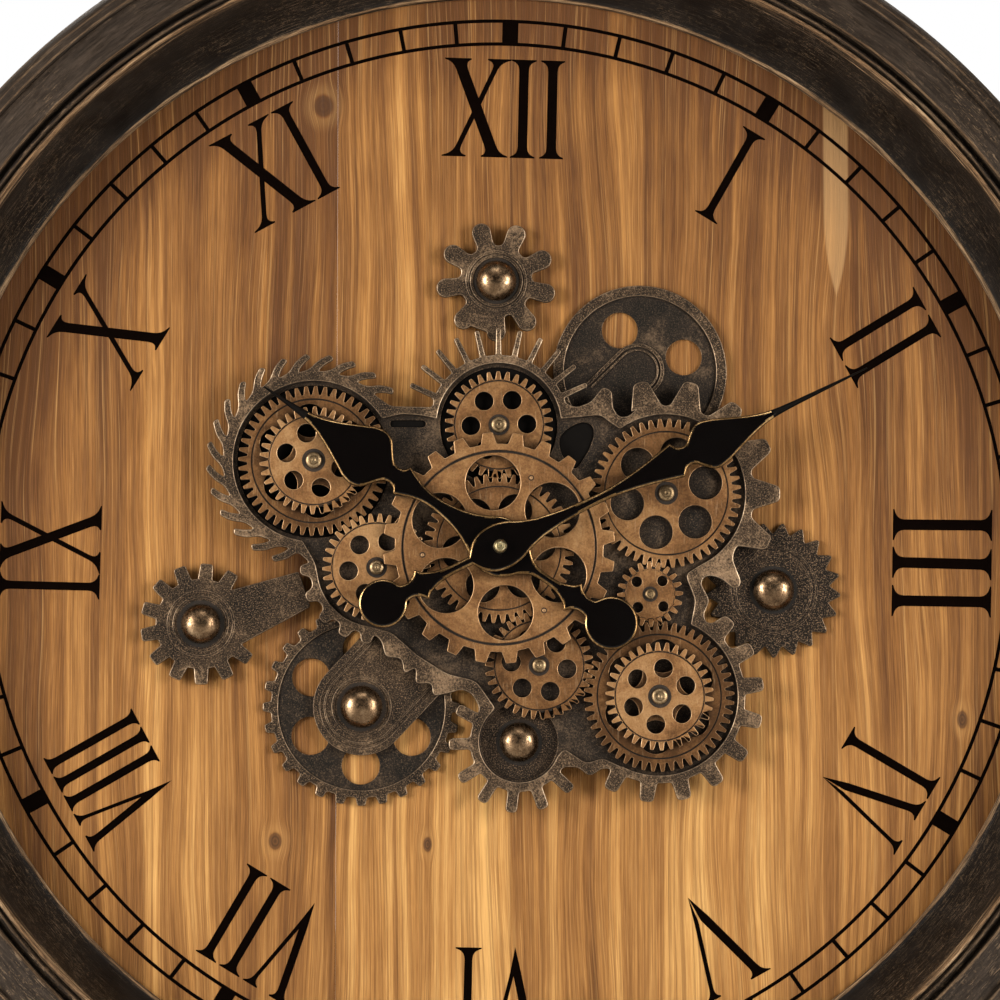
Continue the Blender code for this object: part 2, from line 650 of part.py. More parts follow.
def centre_bushing():
    """The threaded tube that holds the movement to the board and carries both gears on the axis."""
    flange = CASE_WALL_INSIDE - GAP
    profile = [
        (COLLAR_RADIUS, GEAR_COLLAR[1]),
        (COLLAR_RADIUS, GEAR_COLLAR[0]),
        (BUSHING_RADIUS, GEAR_COLLAR[0]),
        (BUSHING_RADIUS, flange),
        (6.5, flange),
        (6.5, flange - 1.2),
        (BUSHING_BORE, flange - 1.2),
        (BUSHING_BORE, GEAR_COLLAR[1]),
    ]
    turned("centre_bushing", profile, STEEL, segments=16, ring=True)
    plate("bushing_nut", circle(7.0, 6), [circle(BUSHING_RADIUS + GAP, 12)], (GAP, 2.8), STEEL)


def hour_pipe():
    low, high = HOUR_WHEEL_LEVELS
    ends = (low, HOUR_HAND[1] + GAP)
    pipe = tube("hour_pipe", HOUR_PIPE_RADIUS, HOUR_PIPE_BORE, *ends, WHITE_PLASTIC, segments=14)
    outline = motion_outline(HOUR_TEETH, MOTION_PINION_TEETH, 0.0)
    bore = circle(HOUR_PIPE_BORE + GAP, 16)
    join(pipe, as_mesh(plate("hour_wheel_helper", outline, [bore], (low + 0.1, high), helper=True)))


def minute_arbor():
    arbor = rod("minute_arbor", ARBOR_RADIUS, -24.5, MINUTE_HAND[1], STEEL, segments=10)
    outline = motion_outline(CANNON_TEETH, MOTION_TEETH, 0.0)
    join(arbor, as_mesh(plate("cannon_helper", outline, [], CANNON_LEVELS, helper=True)))


def motion_wheel():
    """The wheel between the hands' two gears, with its pinion and the shaft that carries the setting knob."""
    wheel_phase = mesh_phase(0.0, CANNON_TEETH, MOTION_ANGLE, MOTION_TEETH)
    pinion_phase = mesh_phase(0.0, HOUR_TEETH, MOTION_ANGLE, MOTION_PINION_TEETH)
    outline = motion_outline(MOTION_TEETH, CANNON_TEETH, wheel_phase)
    wheel = as_mesh(plate("motion_wheel", outline, [], CANNON_LEVELS, WHITE_PLASTIC, MOTION_AXIS))
    outline = motion_outline(MOTION_PINION_TEETH, HOUR_TEETH, pinion_phase)
    levels = (CANNON_LEVELS[1] - 0.4, HOUR_WHEEL_LEVELS[1] + 0.2)
    pinion = as_mesh(plate("motion_pinion_helper", outline, [], levels, at=MOTION_AXIS, helper=True))
    ends = (CASE_BACK - 1.2, CASE_WALL_INSIDE - 1.5)
    shaft = rod("motion_shaft_helper", 1.2, *ends, at=MOTION_AXIS, segments=10, helper=True)
    join(wheel, pinion, shaft)
    knob = [(0.0, -28.5), (6.4, -28.5), (7.0, -29.1), (7.0, -32.2), (6.4, -32.8), (0.0, -32.8)]
    turned("setting_knob", knob, BLACK_PLASTIC, MOTION_AXIS)


def movement_works():
    """The circuit board with its long coil, and the cell in the bay below."""
    board = box("stepper_board", (-25.0, -14.4), (-7.5, 22.0), (-13.4, -12.2), CIRCUIT_GREEN)
    bobbin = [(0.0, 9.6), (4.2, 9.6), (4.2, 8.4), (3.4, 8.4)]
    bobbin += [(3.4, -8.4), (4.2, -8.4), (4.2, -9.6), (0.0, -9.6)]
    coil = turned("coil_helper", bobbin, COPPER, (-15.0, 19.0), 14, helper=True)
    lay_across(coil, -17.2)
    join(board, coil)
    battery("movement_cell", (0.0, -19.6), -18.9)


def lay_across(obj, height):
    """Turns a piece made about its axis so that it lies along the clock's x, at the height."""
    obj.rotation_euler = (0.0, pi / 2, 0.0)
    obj.location.z = height * MM


def battery(name, centre, height):
    """A round cell lying across the clock, with its raised contact to the right."""
    profile = [(0.0, 25.0), (2.7, 25.0), (2.7, 23.8), (CELL_RADIUS, 23.6), (CELL_RADIUS, -24.6), (0.0, -24.6)]
    lay_across(turned(name, profile, CELL_WRAP, centre, 12), height)


# ---- gear drive --------------------------------------------------------------------------------------

def motor_box():
    """A moulded box with a bay for the gear drive and one for the cell, and a cover with a switch slot."""
    inside = CASE_WALL_INSIDE
    back = MOTOR_CASE_BACK - CUT_THROUGH
    case = box("motor_case", (-32.0, 32.0), (30.0, 93.0), (MOTOR_CASE_BACK, CASE_FRONT), bevel=1.2)
    works = box("drive_cutter", (-30.0, 30.0), (32.0, 73.0), (back, inside), helper=True)
    bay = box("drive_cell_cutter", (-26.0, 26.0), (75.0, 91.0), (back, inside), helper=True)
    reach = (inside - CUT_THROUGH, CASE_FRONT + CUT_THROUGH)
    hub = rod("arbor_cutter", POST_RADIUS + 0.6, *reach, at=TOP, helper=True)
    cut(case, works, bay, hub)
    cover_front = MOTOR_CASE_BACK + 1.6
    cover = box("motor_cover", (-29.7, 29.7), (32.3, 72.7), (MOTOR_CASE_BACK, cover_front))
    reach = (back, cover_front + CUT_THROUGH)
    slot = box("switch_slot_cutter", (-24.0, -14.0), (36.6, 41.4), reach, helper=True)
    cut(cover, slot)
    reach = (MOTOR_CASE_BACK - 1.6, cover_front + 1.8)
    box("slide_switch", (-23.6, -18.6), (37.0, 41.0), reach, BLACK_PLASTIC, bevel=0.4)
    battery("drive_cell", (0.0, 83.0), -19.4)


def gear_drive():
    head = REAR_GEARS[1] + GAP
    profile = [
        (0.0, head + 1.6),
        (PIN_HEAD_RADIUS, head + 1.1),
        (PIN_HEAD_RADIUS, head),
        (POST_RADIUS, head),
        (POST_RADIUS, -23.0),
        (0.0, -23.0),
    ]
    arbor = turned("top_arbor", profile, DOME_BRASS, TOP, 12)
    outline = fine_outline(DRIVE_TEETH, DRIVE_MODULE, 0.0)
    join(arbor, as_mesh(plate("drive_wheel_helper", outline, [], DRIVE_LEVELS, at=TOP, helper=True)))
    pinion_phase = mesh_phase(0.0, DRIVE_TEETH, 0.0, MOTOR_PINION_TEETH)
    outline = fine_outline(MOTOR_PINION_TEETH, DRIVE_MODULE, pinion_phase)
    plate("motor_pinion", outline, [], (DRIVE_LEVELS[0] - 0.6, DRIVE_LEVELS[1] + 0.4), BRASS, MOTOR_AXIS)
    motor_high = CASE_WALL_INSIDE - GAP
    rod("gear_motor", 8.4, DRIVE_LEVELS[1] + 0.4 + GAP, motor_high, STEEL, MOTOR_AXIS, 24)


# ---- case --------------------------------------------------------------------------------------------


def frame_ring():
    """The moulded ring: scooped inner slope, high ridge, outer bands, and a rebate for the board."""
    profile = [
        (270.4, DEPTH - DIAL_TO_WALL),
        (272.2, 39.4),
        (273.6, 35.6),
        (278.8, 36.0),
        (292.6, 27.6),
        (293.8, 24.4),
        (299.6, 21.6),
        (OUTER_RADIUS, 9.0),
        (303.4, 1.0),
        (303.4, -DIAL_TO_WALL),
        (276.0, -DIAL_TO_WALL),
        (276.0, BOARD_BACK),
        (261.2, BOARD_BACK),
        (261.2, GAP),
        (LIP_RADIUS, GAP),
        (LIP_RADIUS, 4.0),
        (262.0, 22.0),
    ]
    ring = turned("frame_ring", profile, FRAME_PAINT, segments=56, ring=True)
    reach = (-DIAL_TO_WALL - CUT_THROUGH, -30.0)
    pocket = box("hanger_pocket_cutter", (-21.0, 21.0), (278.6, 300.0), reach, helper=True)
    cut(ring, pocket)


def hanger_plate():
    outline = [(-20.0, 279.0), (20.0, 279.0), (20.0, 299.6), (-20.0, 299.6)]
    keyhole = [*arc((0.0, 286.4), 5.0, 118.7, 421.3, 14), (2.4, 294.0), (0.0, 296.2), (-2.4, 294.0)]
    plate("hanger_plate", outline, [keyhole], (-35.6, -34.0), STEEL)


def dial():
    holes = [circle(BUSHING_RADIUS + GAP, 12), circle(POST_RADIUS + 0.6, 10, TOP)]
    plate("dial_board", circle(BOARD_RADIUS, 60), holes, (BOARD_BACK + GAP, 0.0), PINE)
    outline = [(247.0, -7.0), (272.0, -7.0), (272.0, 7.0), (247.0, 7.0)]
    levels = (BOARD_BACK - GAP - WALL, BOARD_BACK - GAP)
    for index, angle in enumerate((30.0, 150.0, 270.0)):
        name = f"board_clip_{index + 1}"
        plate(name, outline, [circle(1.8, 8, (267.0, 0.0))], levels, STEEL, angle=angle)


def main():
    frame_ring()
    hanger_plate()
    dial()
    board_wheels()
    train_plates()
    gear_train()
    hands()
    movement_case()
    centre_bushing()
    hour_pipe()
    minute_arbor()
    motion_wheel()
    movement_works()
    motor_box()
    gear_drive()


main()
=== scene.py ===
"""The looks of the skeleton clock: a distressed moulding round stained planks, with an aged brass gear train.

Pieces are drawn in millimetres as seen from the front: x to the right, y up, and h towards the viewer from
the dial's face. Piece.done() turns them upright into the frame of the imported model.
"""

from math import acos, asin, atan2, cos, degrees, pi, radians, sin

import bmesh
import bpy
from mathutils import Matrix, Vector


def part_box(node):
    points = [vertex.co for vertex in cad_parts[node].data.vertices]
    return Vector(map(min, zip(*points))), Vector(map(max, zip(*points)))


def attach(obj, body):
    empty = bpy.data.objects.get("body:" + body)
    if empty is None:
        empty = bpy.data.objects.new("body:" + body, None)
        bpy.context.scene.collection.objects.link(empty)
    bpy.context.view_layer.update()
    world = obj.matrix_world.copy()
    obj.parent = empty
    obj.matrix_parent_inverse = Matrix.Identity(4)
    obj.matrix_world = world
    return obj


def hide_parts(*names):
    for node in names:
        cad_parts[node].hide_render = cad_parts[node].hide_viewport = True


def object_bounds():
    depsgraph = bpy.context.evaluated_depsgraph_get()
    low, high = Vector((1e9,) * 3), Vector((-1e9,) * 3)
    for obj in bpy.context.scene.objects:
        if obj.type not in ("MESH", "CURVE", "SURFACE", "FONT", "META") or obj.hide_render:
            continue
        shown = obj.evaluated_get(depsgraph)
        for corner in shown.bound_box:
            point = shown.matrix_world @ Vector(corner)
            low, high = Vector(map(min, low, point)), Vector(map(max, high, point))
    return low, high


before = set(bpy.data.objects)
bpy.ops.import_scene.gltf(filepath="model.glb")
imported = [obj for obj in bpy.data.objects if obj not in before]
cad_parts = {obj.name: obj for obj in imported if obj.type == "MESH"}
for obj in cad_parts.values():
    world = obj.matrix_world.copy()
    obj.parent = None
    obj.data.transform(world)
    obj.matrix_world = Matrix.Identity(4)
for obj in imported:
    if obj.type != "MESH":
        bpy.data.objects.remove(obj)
CAD_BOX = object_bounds()

MM = 0.001
FACE_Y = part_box("dial_board")[0].y
UPRIGHT = Matrix.Translation((0.0, FACE_Y, 0.0)) @ Matrix.Rotation(pi / 2, 4, "X") @ Matrix.Scale(MM, 4)
FIXED = "clock"
CENTRE = (0.0, 0.0)

# The gear train
MODULE = 1.35
LARGE = 48
MIDDLE = 34
SMALL = 20
PLATE_BEVEL = 0.3
GEAR_BEVEL = 0.2
GROOVE_HALF_WIDTH = 0.2

# The dial's print
PRINT_TURN = -1.35
TRACK_OUTER = 240.5
TRACK_INNER = 230.0
TRACK_LINE = 1.55
NUMERAL_FOOT = 178.0
NUMERAL_HEAD = 223.0

# Hands, as angles anticlockwise from three o'clock
MINUTE_ANGLE = 26.1
HOUR_ANGLE = 145.8


# ---- reading the frame


def axis_of(node):
    """Where the middle of a node's box stands, in millimetres as seen from the front."""
    low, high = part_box(node)
    return ((low.x + high.x) / 2 / MM, (low.z + high.z) / 2 / MM)


def levels_of(node):
    """A node's lowest and highest heights from the dial's face, in millimetres."""
    low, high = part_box(node)
    return ((FACE_Y - high.y) / MM, (FACE_Y - low.y) / MM)


def span_of(node):
    """A node's extents across and up, in millimetres: ((left, right), (bottom, top))."""
    low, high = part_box(node)
    return ((low.x / MM, high.x / MM), (low.z / MM, high.z / MM))


# ---- outlines


def polar(radius, angle, centre=CENTRE):
    return (centre[0] + radius * cos(radians(angle)), centre[1] + radius * sin(radians(angle)))


def arc(centre, radius, start, end, count):
    step = (end - start) / (count - 1)
    return [polar(radius, start + step * index, centre) for index in range(count)]


def circle(radius, centre=CENTRE, count=0):
    count = count or max(24, min(160, int(radius * 3.2)))
    return [polar(radius, 360.0 * index / count, centre) for index in range(count)]


def hole_ring(count, radius, hole_radius, phase, centre=CENTRE):
    places = [polar(radius, phase + 360.0 * index / count, centre) for index in range(count)]
    return [circle(hole_radius, place, 40) for place in places]


def turned_by(points, angle):
    """The outline turned about the origin."""
    c = cos(radians(angle))
    s = sin(radians(angle))
    return [(x * c - y * s, x * s + y * c) for x, y in points]


def shifted(point, across, up):
    return (point[0] + across, point[1] + up)


def moved(points, centre):
    """The outline carried from the origin to a centre."""
    return [shifted(point, *centre) for point in points]


def rounded(points, radius, steps=4):
    """The closed outline with its corners eased, each by no more than the edges beside it allow."""
    made = []
    count = len(points)
    for index, point in enumerate(points):
        corner = Vector(point)
        before = Vector(points[index - 1]) - corner
        after = Vector(points[(index + 1) % count]) - corner
        if before.length < 0.0001 or after.length < 0.0001:
            continue
        if before.angle(after) > radians(166.0):
            made.append(point)
            continue
        reach = min(radius, 0.46 * before.length, 0.46 * after.length)
        start = corner + before.normalized() * reach
        end = corner + after.normalized() * reach
        for step in range(steps + 1):
            t = step / steps
            made.append(tuple(start * (1 - t) ** 2 + corner * 2 * t * (1 - t) + end * t**2))
    return made


def flowing(points, steps=6):
    """A smooth line through the points, both ends included."""
    made = []
    padded = [points[0], *points, points[-1]]
    for index in range(len(points) - 1):
        a, b, c, d = (Vector(point) for point in padded[index : index + 4])
        for step in range(steps):
            t = step / steps
            bend = b * 2 + (c - a) * t + (a * 2 - b * 5 + c * 4 - d) * t**2 + (b * 3 - a - c * 3 + d) * t**3
            made.append(tuple(bend / 2))
    made.append(points[-1])
    return made


def spur_outline(teeth, phase, centre):
    """Rounded, tapered teeth with an eased root."""
    pitch = 360.0 / teeth
    tip = MODULE * (teeth / 2 + 0.9)
    root = MODULE * (teeth / 2 - 2.0)
    middle = MODULE * teeth / 2
    flank = [(root, 0.42), (root + 0.2, 0.36), (middle - 1.5, 0.305), (middle, 0.225)]
    flank += [(tip - 0.4, 0.175), (tip - 0.08, 0.145), (tip, 0.1)]
    made = []
    for index in range(teeth):
        angle = phase + pitch * index
        made += [polar(radius, angle - pitch * half, centre) for radius, half in flank]
        made += [polar(radius, angle + pitch * half, centre) for radius, half in reversed(flank)]
    return made


def block_tooth(centre, angle, root, tip, root_width, tip_width):
    """The four corners of a straight-sided tooth, from its clockwise side to its anticlockwise side."""
    along = Vector((cos(radians(angle)), sin(radians(angle))))
    across = Vector((-along.y, along.x))
    middle = Vector(centre)
    foot = (root**2 - (root_width / 2) ** 2) ** 0.5
    made = []
    for reach, width in ((foot, -root_width), (tip, -tip_width), (tip, tip_width), (foot, root_width)):
        made.append(tuple(middle + along * reach + across * width / 2))
    return made


def offset_outline(points, distance):
    """The closed outline, drawn anticlockwise, grown outwards."""
    made = []
    count = len(points)
    for index, point in enumerate(points):
        before = Vector(point) - Vector(points[index - 1])
        after = Vector(points[(index + 1) % count]) - Vector(point)
        along = before.normalized() + after.normalized()
        along.normalize()
        made.append((point[0] + along.y * distance, point[1] - along.x * distance))
    return made


def toothed_arc(centre, angles, root, tip, root_width, tip_width, steps=0):
    """Block teeth, with the root circle followed between them where steps are asked for."""
    made = []
    for index, angle in enumerate(angles):
        made += block_tooth(centre, angle, root, tip, root_width, tip_width)
        if steps and index < len(angles) - 1:
            half = degrees(asin(root_width / 2 / root))
            made += arc(centre, root, angle + half, angles[index + 1] - half, steps + 2)[1:-1]
    return made


def mesh_phase(at, teeth, phase, next_at, next_teeth):
    """Where the next gear's teeth stand, so that a gap of it faces each tooth of the first gear."""
    way = direction(at, next_at)
    offset = ((way - phase) * teeth / 360.0) % 1.0
    return way + 180.0 + (offset + 0.5) * 360.0 / next_teeth


def direction(start, end):
    return degrees(atan2(end[1] - start[1], end[0] - start[0]))


# ---- pieces


def put(name, data):
    """A new object in the scene."""
    obj = bpy.data.objects.new(name, data)
    bpy.context.scene.collection.objects.link(obj)
    return obj


def worked_out(obj):
    """The mesh that the object's curve or modifiers make."""
    bpy.context.view_layer.update()
    return bpy.data.meshes.new_from_object(obj.evaluated_get(bpy.context.evaluated_depsgraph_get()))


def mesh_from(shape, name):
    mesh = bpy.data.meshes.new(name)
    shape.to_mesh(mesh)
    shape.free()
    return mesh


def plate_mesh(outline, holes, low, high, bevel):
    """A sheet between two levels, with rounded edges."""
    curve = bpy.data.curves.new("sheet", "CURVE")
    curve.dimensions = "2D"
    curve.fill_mode = "BOTH"
    curve.bevel_depth = bevel
    curve.bevel_resolution = 2 if bevel else 0
    curve.offset = -bevel
    curve.extrude = (high - low) / 2 - bevel
    for loop in [outline, *[hole[::-1] for hole in holes]]:
        spline = curve.splines.new("POLY")
        spline.points.add(len(loop) - 1)
        for point, (x, y) in zip(spline.points, loop):
            point.co = (x, y, 0.0, 1.0)
        spline.use_cyclic_u = True
    holder = put("sheet", curve)
    mesh = worked_out(holder)
    bpy.data.objects.remove(holder)
    bpy.data.curves.remove(curve)
    mesh.transform(Matrix.Translation((0.0, 0.0, (low + high) / 2)))
    return mesh


def turned_mesh(profile, steps, ring):
    """A turned form about the origin. The profile lists (radius, height), and a ring's profile is closed."""
    shape = bmesh.new()
    verts = [shape.verts.new((radius, 0.0, height)) for radius, height in profile]
    pairs = list(zip(verts, verts[1:]))
    if ring:
        pairs.append((verts[-1], verts[0]))
    geom = verts + [shape.edges.new(pair) for pair in pairs]
    turn = {"cent": (0, 0, 0), "axis": (0, 0, 1), "angle": 2 * pi, "steps": steps}
    bmesh.ops.spin(shape, geom=geom, use_merge=True, **turn)
    bmesh.ops.remove_doubles(shape, verts=shape.verts, dist=0.0005)
    bmesh.ops.recalc_face_normals(shape, faces=shape.faces)
    return mesh_from(shape, "turned")


class Piece:
    """One piece of the clock, gathered from plates and turned forms and then put in its place."""

    FLAT = 0.985
    EDGE = 0.3
    GROOVE_REACH = 0.9

    def __init__(self, name, body=FIXED, centre=CENTRE, tone=0.0):
        self.name = name
        self.body = body
        self.centre = centre
        self.tone = tone
        self.main = None
        self.finishes = []
        self.shape = bmesh.new()

    def slot(self, finish):
        if finish not in self.finishes:
            self.finishes.append(finish)
        return self.finishes.index(finish)

    def add(self, mesh, finish, trims=None, groove=0.0):
        """Adds the mesh. Rounded edges and side walls take the trims, and walls by the groove take darker
        brass as painted shade.
        """
        self.main = self.main or finish
        first = len(self.shape.faces)
        self.shape.from_mesh(mesh)
        bpy.data.meshes.remove(mesh)
        self.shape.faces.ensure_lookup_table()
        edge, wall = trims or (finish, finish)
        for face in self.shape.faces[first:]:
            face.normal_update()
            lean = abs(face.normal.z)
            kind = finish if lean > self.FLAT else (edge if lean > self.EDGE else wall)
            # Walls near the groove take the darker brass: painted shade in the groove.
            if groove and lean < self.FLAT:
                off = (face.calc_center_median().xy - Vector(self.centre)).length - groove
                kind = "shaded_brass_wall" if abs(off) < self.GROOVE_REACH else kind
            face.material_index = self.slot(kind)
            face.smooth = True
        return self

    def plate(self, outline, holes, levels, finish, bevel=PLATE_BEVEL, groove=0.0):
        return self.add(plate_mesh(outline, holes, *levels, bevel), finish, TRIMS.get(finish), groove)

    def turn(self, profile, finish, centre=CENTRE, steps=48):
        mesh = turned_mesh(profile, steps, False)
        mesh.transform(Matrix.Translation((*centre, 0.0)))
        return self.add(mesh, finish)

    def done(self, *stands_for, crease=32.0):
        mesh = mesh_from(self.shape, self.name)
        offset = Vector((*self.centre, 0.0))
        places = [value for vertex in mesh.vertices for value in vertex.co - offset]
        tones = [self.tone] * len(mesh.vertices)
        mesh.attributes.new("local", "FLOAT_VECTOR", "POINT").data.foreach_set("vector", places)
        mesh.attributes.new("tone", "FLOAT", "POINT").data.foreach_set("value", tones)
        mesh.set_sharp_from_angle(angle=radians(crease))
        for finish in self.finishes:
            mesh.materials.append(FINISHES[finish])
        mesh.transform(UPRIGHT)
        obj = put(self.name, mesh)
        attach(obj, self.body)
        if stands_for:
            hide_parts(*stands_for)


# What a plate's rounded edges and side walls are finished in. The darker wall finishes of brass and bronze
# are painted shade.
TRIMS = {
    "brass": ("brass_edge", "shaded_brass_wall"),
    "bronze": ("bronze_edge", "grime_and_shade"),
    "web": ("bronze", "grime_and_shade"),
    "hand": ("hand_edge", "hand"),
}


# ---- materials


class Value:
    """A node's output. Arithmetic on it adds the nodes that work it out."""

    def __init__(self, finish, socket):
        self.finish = finish
        self.socket = socket

    def maths(self, operation, other=0.0):
        return self.finish.value("Math", 0, {0: self, 1: other}, operation=operation)

    def __add__(self, other):
        return self.maths("ADD", other)

    def __sub__(self, other):
        return self.maths("SUBTRACT", other)

    def __mul__(self, other):
        return self.maths("MULTIPLY", other)

    def __truediv__(self, other):
        return self.maths("DIVIDE", other)

    def __abs__(self):
        return self.maths("ABSOLUTE")

    def band(self, low, high, out_low=0.0, out_high=1.0):
        """The value carried smoothly from one range to another, and held at its ends."""
        inputs = {"Value": self, "From Min": low, "From Max": high, "To Min": out_low, "To Max": out_high}
        return self.finish.value("MapRange", 0, inputs, interpolation_type="SMOOTHSTEP")

    def ramp(self, *stops):
        """A colour for the value, from (position, colour) stops."""
        made = self.finish.node("ValToRGB", {0: self})
        elements = made.color_ramp.elements
        while len(elements) < len(stops):
            elements.new(0.5)
        for element, (position, colour) in zip(elements, stops):
            element.position = position
            element.color = (*colour, 1.0)
        return Value(self.finish, made.outputs[0])


def highest(values):
    """The greatest of the values, as one value."""
    made = values[0]
    for value in values[1:]:
        made = made.maths("MAXIMUM", value)
    return made


class Finish:
    """Builds one procedural material round a Principled shader."""

    def __init__(self, name, **fixed):
        self.material = bpy.data.materials.new(name)
        self.material.use_nodes = True
        self.tree = self.material.node_tree
        self.shader = self.tree.nodes["Principled BSDF"]
        self.place = self.value("TexCoord", "Object")
        for key, value in fixed.items():
            self.shader.inputs[key.replace("_", " ")].default_value = value

    def node(self, kind, inputs=None, **settings):
        made = self.tree.nodes.new("ShaderNode" + kind)
        for key, value in settings.items():
            setattr(made, key, value)
        for key, value in (inputs or {}).items():
            self.feed(made.inputs[key], value)
        return made

    def value(self, kind, output, inputs=None, **settings):
        return Value(self, self.node(kind, inputs, **settings).outputs[output])

    def feed(self, socket, value):
        if isinstance(value, Value):
            self.tree.links.new(value.socket, socket)
        else:
            socket.default_value = value

    def attribute(self, name, output="Vector"):
        return self.value("Attribute", output, attribute_name=name)

    def vectors(self, operation, first, second=(0.0, 0.0, 0.0), output=0):
        return self.value("VectorMath", output, {0: first, 1: second}, operation=operation)

    def parts(self, vector):
        return [Value(self, output) for output in self.node("SeparateXYZ", {0: vector}).outputs]

    def vector(self, x, y, z):
        return self.value("CombineXYZ", 0, {0: x, 1: y, 2: z})

    def length(self, x, y):
        return self.vectors("LENGTH", self.vector(x, y, 0.0), output="Value")

    def noise(self, scale, detail=3.0, roughness=0.55, distortion=0.0, place=None):
        inputs = {"Vector": place or self.place, "Scale": scale, "Detail": detail, "Roughness": roughness}
        return self.value("TexNoise", "Fac", {**inputs, "Distortion": distortion})

    def mix(self, amount, first, second):
        made = self.node("Mix", data_type="RGBA")
        for index, value in ((0, amount), (6, first), (7, second)):
            self.feed(made.inputs[index], (*value, 1.0) if isinstance(value, tuple) else value)
        return Value(self, made.outputs[2])

    def soiled_and_shaded(self, colour, amount):
        """The colour darkened where the surface is closed in: dark dirt, and painted shade where the parts
        crowd one another.
        """
        occlusion = self.value("AmbientOcclusion", "AO", {"Distance": 0.006}, samples=4)
        return self.mix(occlusion.band(0.3, 0.95, amount, 0.0), colour, (0.02, 0.011, 0.006))

    def done(self, colour, roughness, height, depth):
        self.feed(self.shader.inputs["Base Color"], colour)
        self.feed(self.shader.inputs["Roughness"], roughness)
        bump = self.value("Bump", 0, {"Height": height, "Distance": depth, "Strength": 1.0})
        self.feed(self.shader.inputs["Normal"], bump)
        return self.material


def aged_metal(name, dark, middle, light, roughness, speckle, metallic=1.0, pits=0.00008, dirt_and_shade=0.0):
    """Cast or stamped metal with a cloudy patina, bright specks, fine pits, and dirt with painted shade in
    its recesses.
    """
    finish = Finish(name, Metallic=metallic)
    cloud = finish.noise(60.0, 5.0, 0.65, 0.4)
    grain = finish.noise(1000.0, 4.0, 0.75)
    specks = finish.noise(1700.0, 3.0, 0.7).band(0.52, 0.66)
    value = cloud * 0.6 + grain * 0.45 + finish.attribute("tone", "Fac")
    colour = finish.mix(specks * speckle, value.ramp((0.40, dark), (0.53, middle), (0.68, light)), light)
    if dirt_and_shade:
        colour = finish.soiled_and_shaded(colour, dirt_and_shade)
    rough = cloud.band(0.3, 0.7, roughness + 0.12, roughness - 0.06)
    return finish.done(colour, rough, grain + cloud * 0.5, pits)


def gear_brass():
    """Satin antique brass with darker patina, brown dirt and painted shade in its recesses, and faint
    scratches.
    """
    finish = Finish("gear_brass", Metallic=0.8)
    cloud = finish.noise(46.0, 5.0, 0.65, 0.6)
    grain = finish.noise(1200.0, 4.0, 0.7)
    spots = finish.noise(330.0, 4.0, 0.7).band(0.56, 0.68)
    stretched = finish.vectors("MULTIPLY", finish.place, (1.0, 1.0, 0.08))
    scratches = finish.noise(1600.0, 2.0, place=stretched).band(0.60, 0.72)
    value = cloud * 0.75 + grain * 0.28 + finish.attribute("tone", "Fac")
    colour = value.ramp(
        (0.34, (0.080, 0.036, 0.012)),
        (0.46, (0.195, 0.093, 0.034)),
        (0.56, (0.345, 0.180, 0.072)),
        (0.70, (0.540, 0.315, 0.142)),
    )
    colour = finish.mix(spots * 0.42, colour, (0.13, 0.066, 0.03))
    colour = finish.mix(scratches * 0.16, colour, (0.74, 0.54, 0.33))
    rough = cloud.band(0.3, 0.7, 0.56, 0.42)
    return finish.done(finish.soiled_and_shaded(colour, 0.75), rough, grain, 0.00006)


def dome_brass():
    """Polished brass with dark tarnish spots."""
    finish = Finish("dome_brass", Metallic=1.0)
    cloud = finish.noise(170.0, 5.0, 0.7, 0.3)
    spots = finish.noise(800.0, 4.0, 0.75).band(0.47, 0.62)
    colour = cloud.ramp(
        (0.32, (0.070, 0.043, 0.024)),
        (0.50, (0.200, 0.128, 0.072)),
        (0.70, (0.380, 0.265, 0.158)),
    )
    colour = finish.mix(spots * 0.6, colour, (0.07, 0.04, 0.022))
    return finish.done(colour, spots.band(0.0, 1.0, 0.26, 0.5), cloud, 0.00008)


def knots_in(finish, x, z):
    """How far the knots bend the grain, the dark rings in them, and the pale halo round them."""
    bends = []
    rings = []
    halos = []
    for knot_x, knot_z, wide, tall in KNOTS:
        dx = x - knot_x * MM
        distance = finish.length(dx / (wide * MM), (z - knot_z * MM) / (tall * MM))
        circles = (distance * 15.0).maths("SINE")
        bends.append(distance.band(0.0, 3.2, 1.0, 0.0) * (dx * -0.75))
        rings.append(distance.band(0.75, 1.1, 1.0, 0.0) * circles.band(-1.0, 1.0, 0.8, 1.0))
        halos.append(distance.band(0.9, 1.3) * distance.band(1.2, 2.7, 1.0, 0.0))
    return sum(bends[1:], bends[0]), highest(rings), highest(halos)


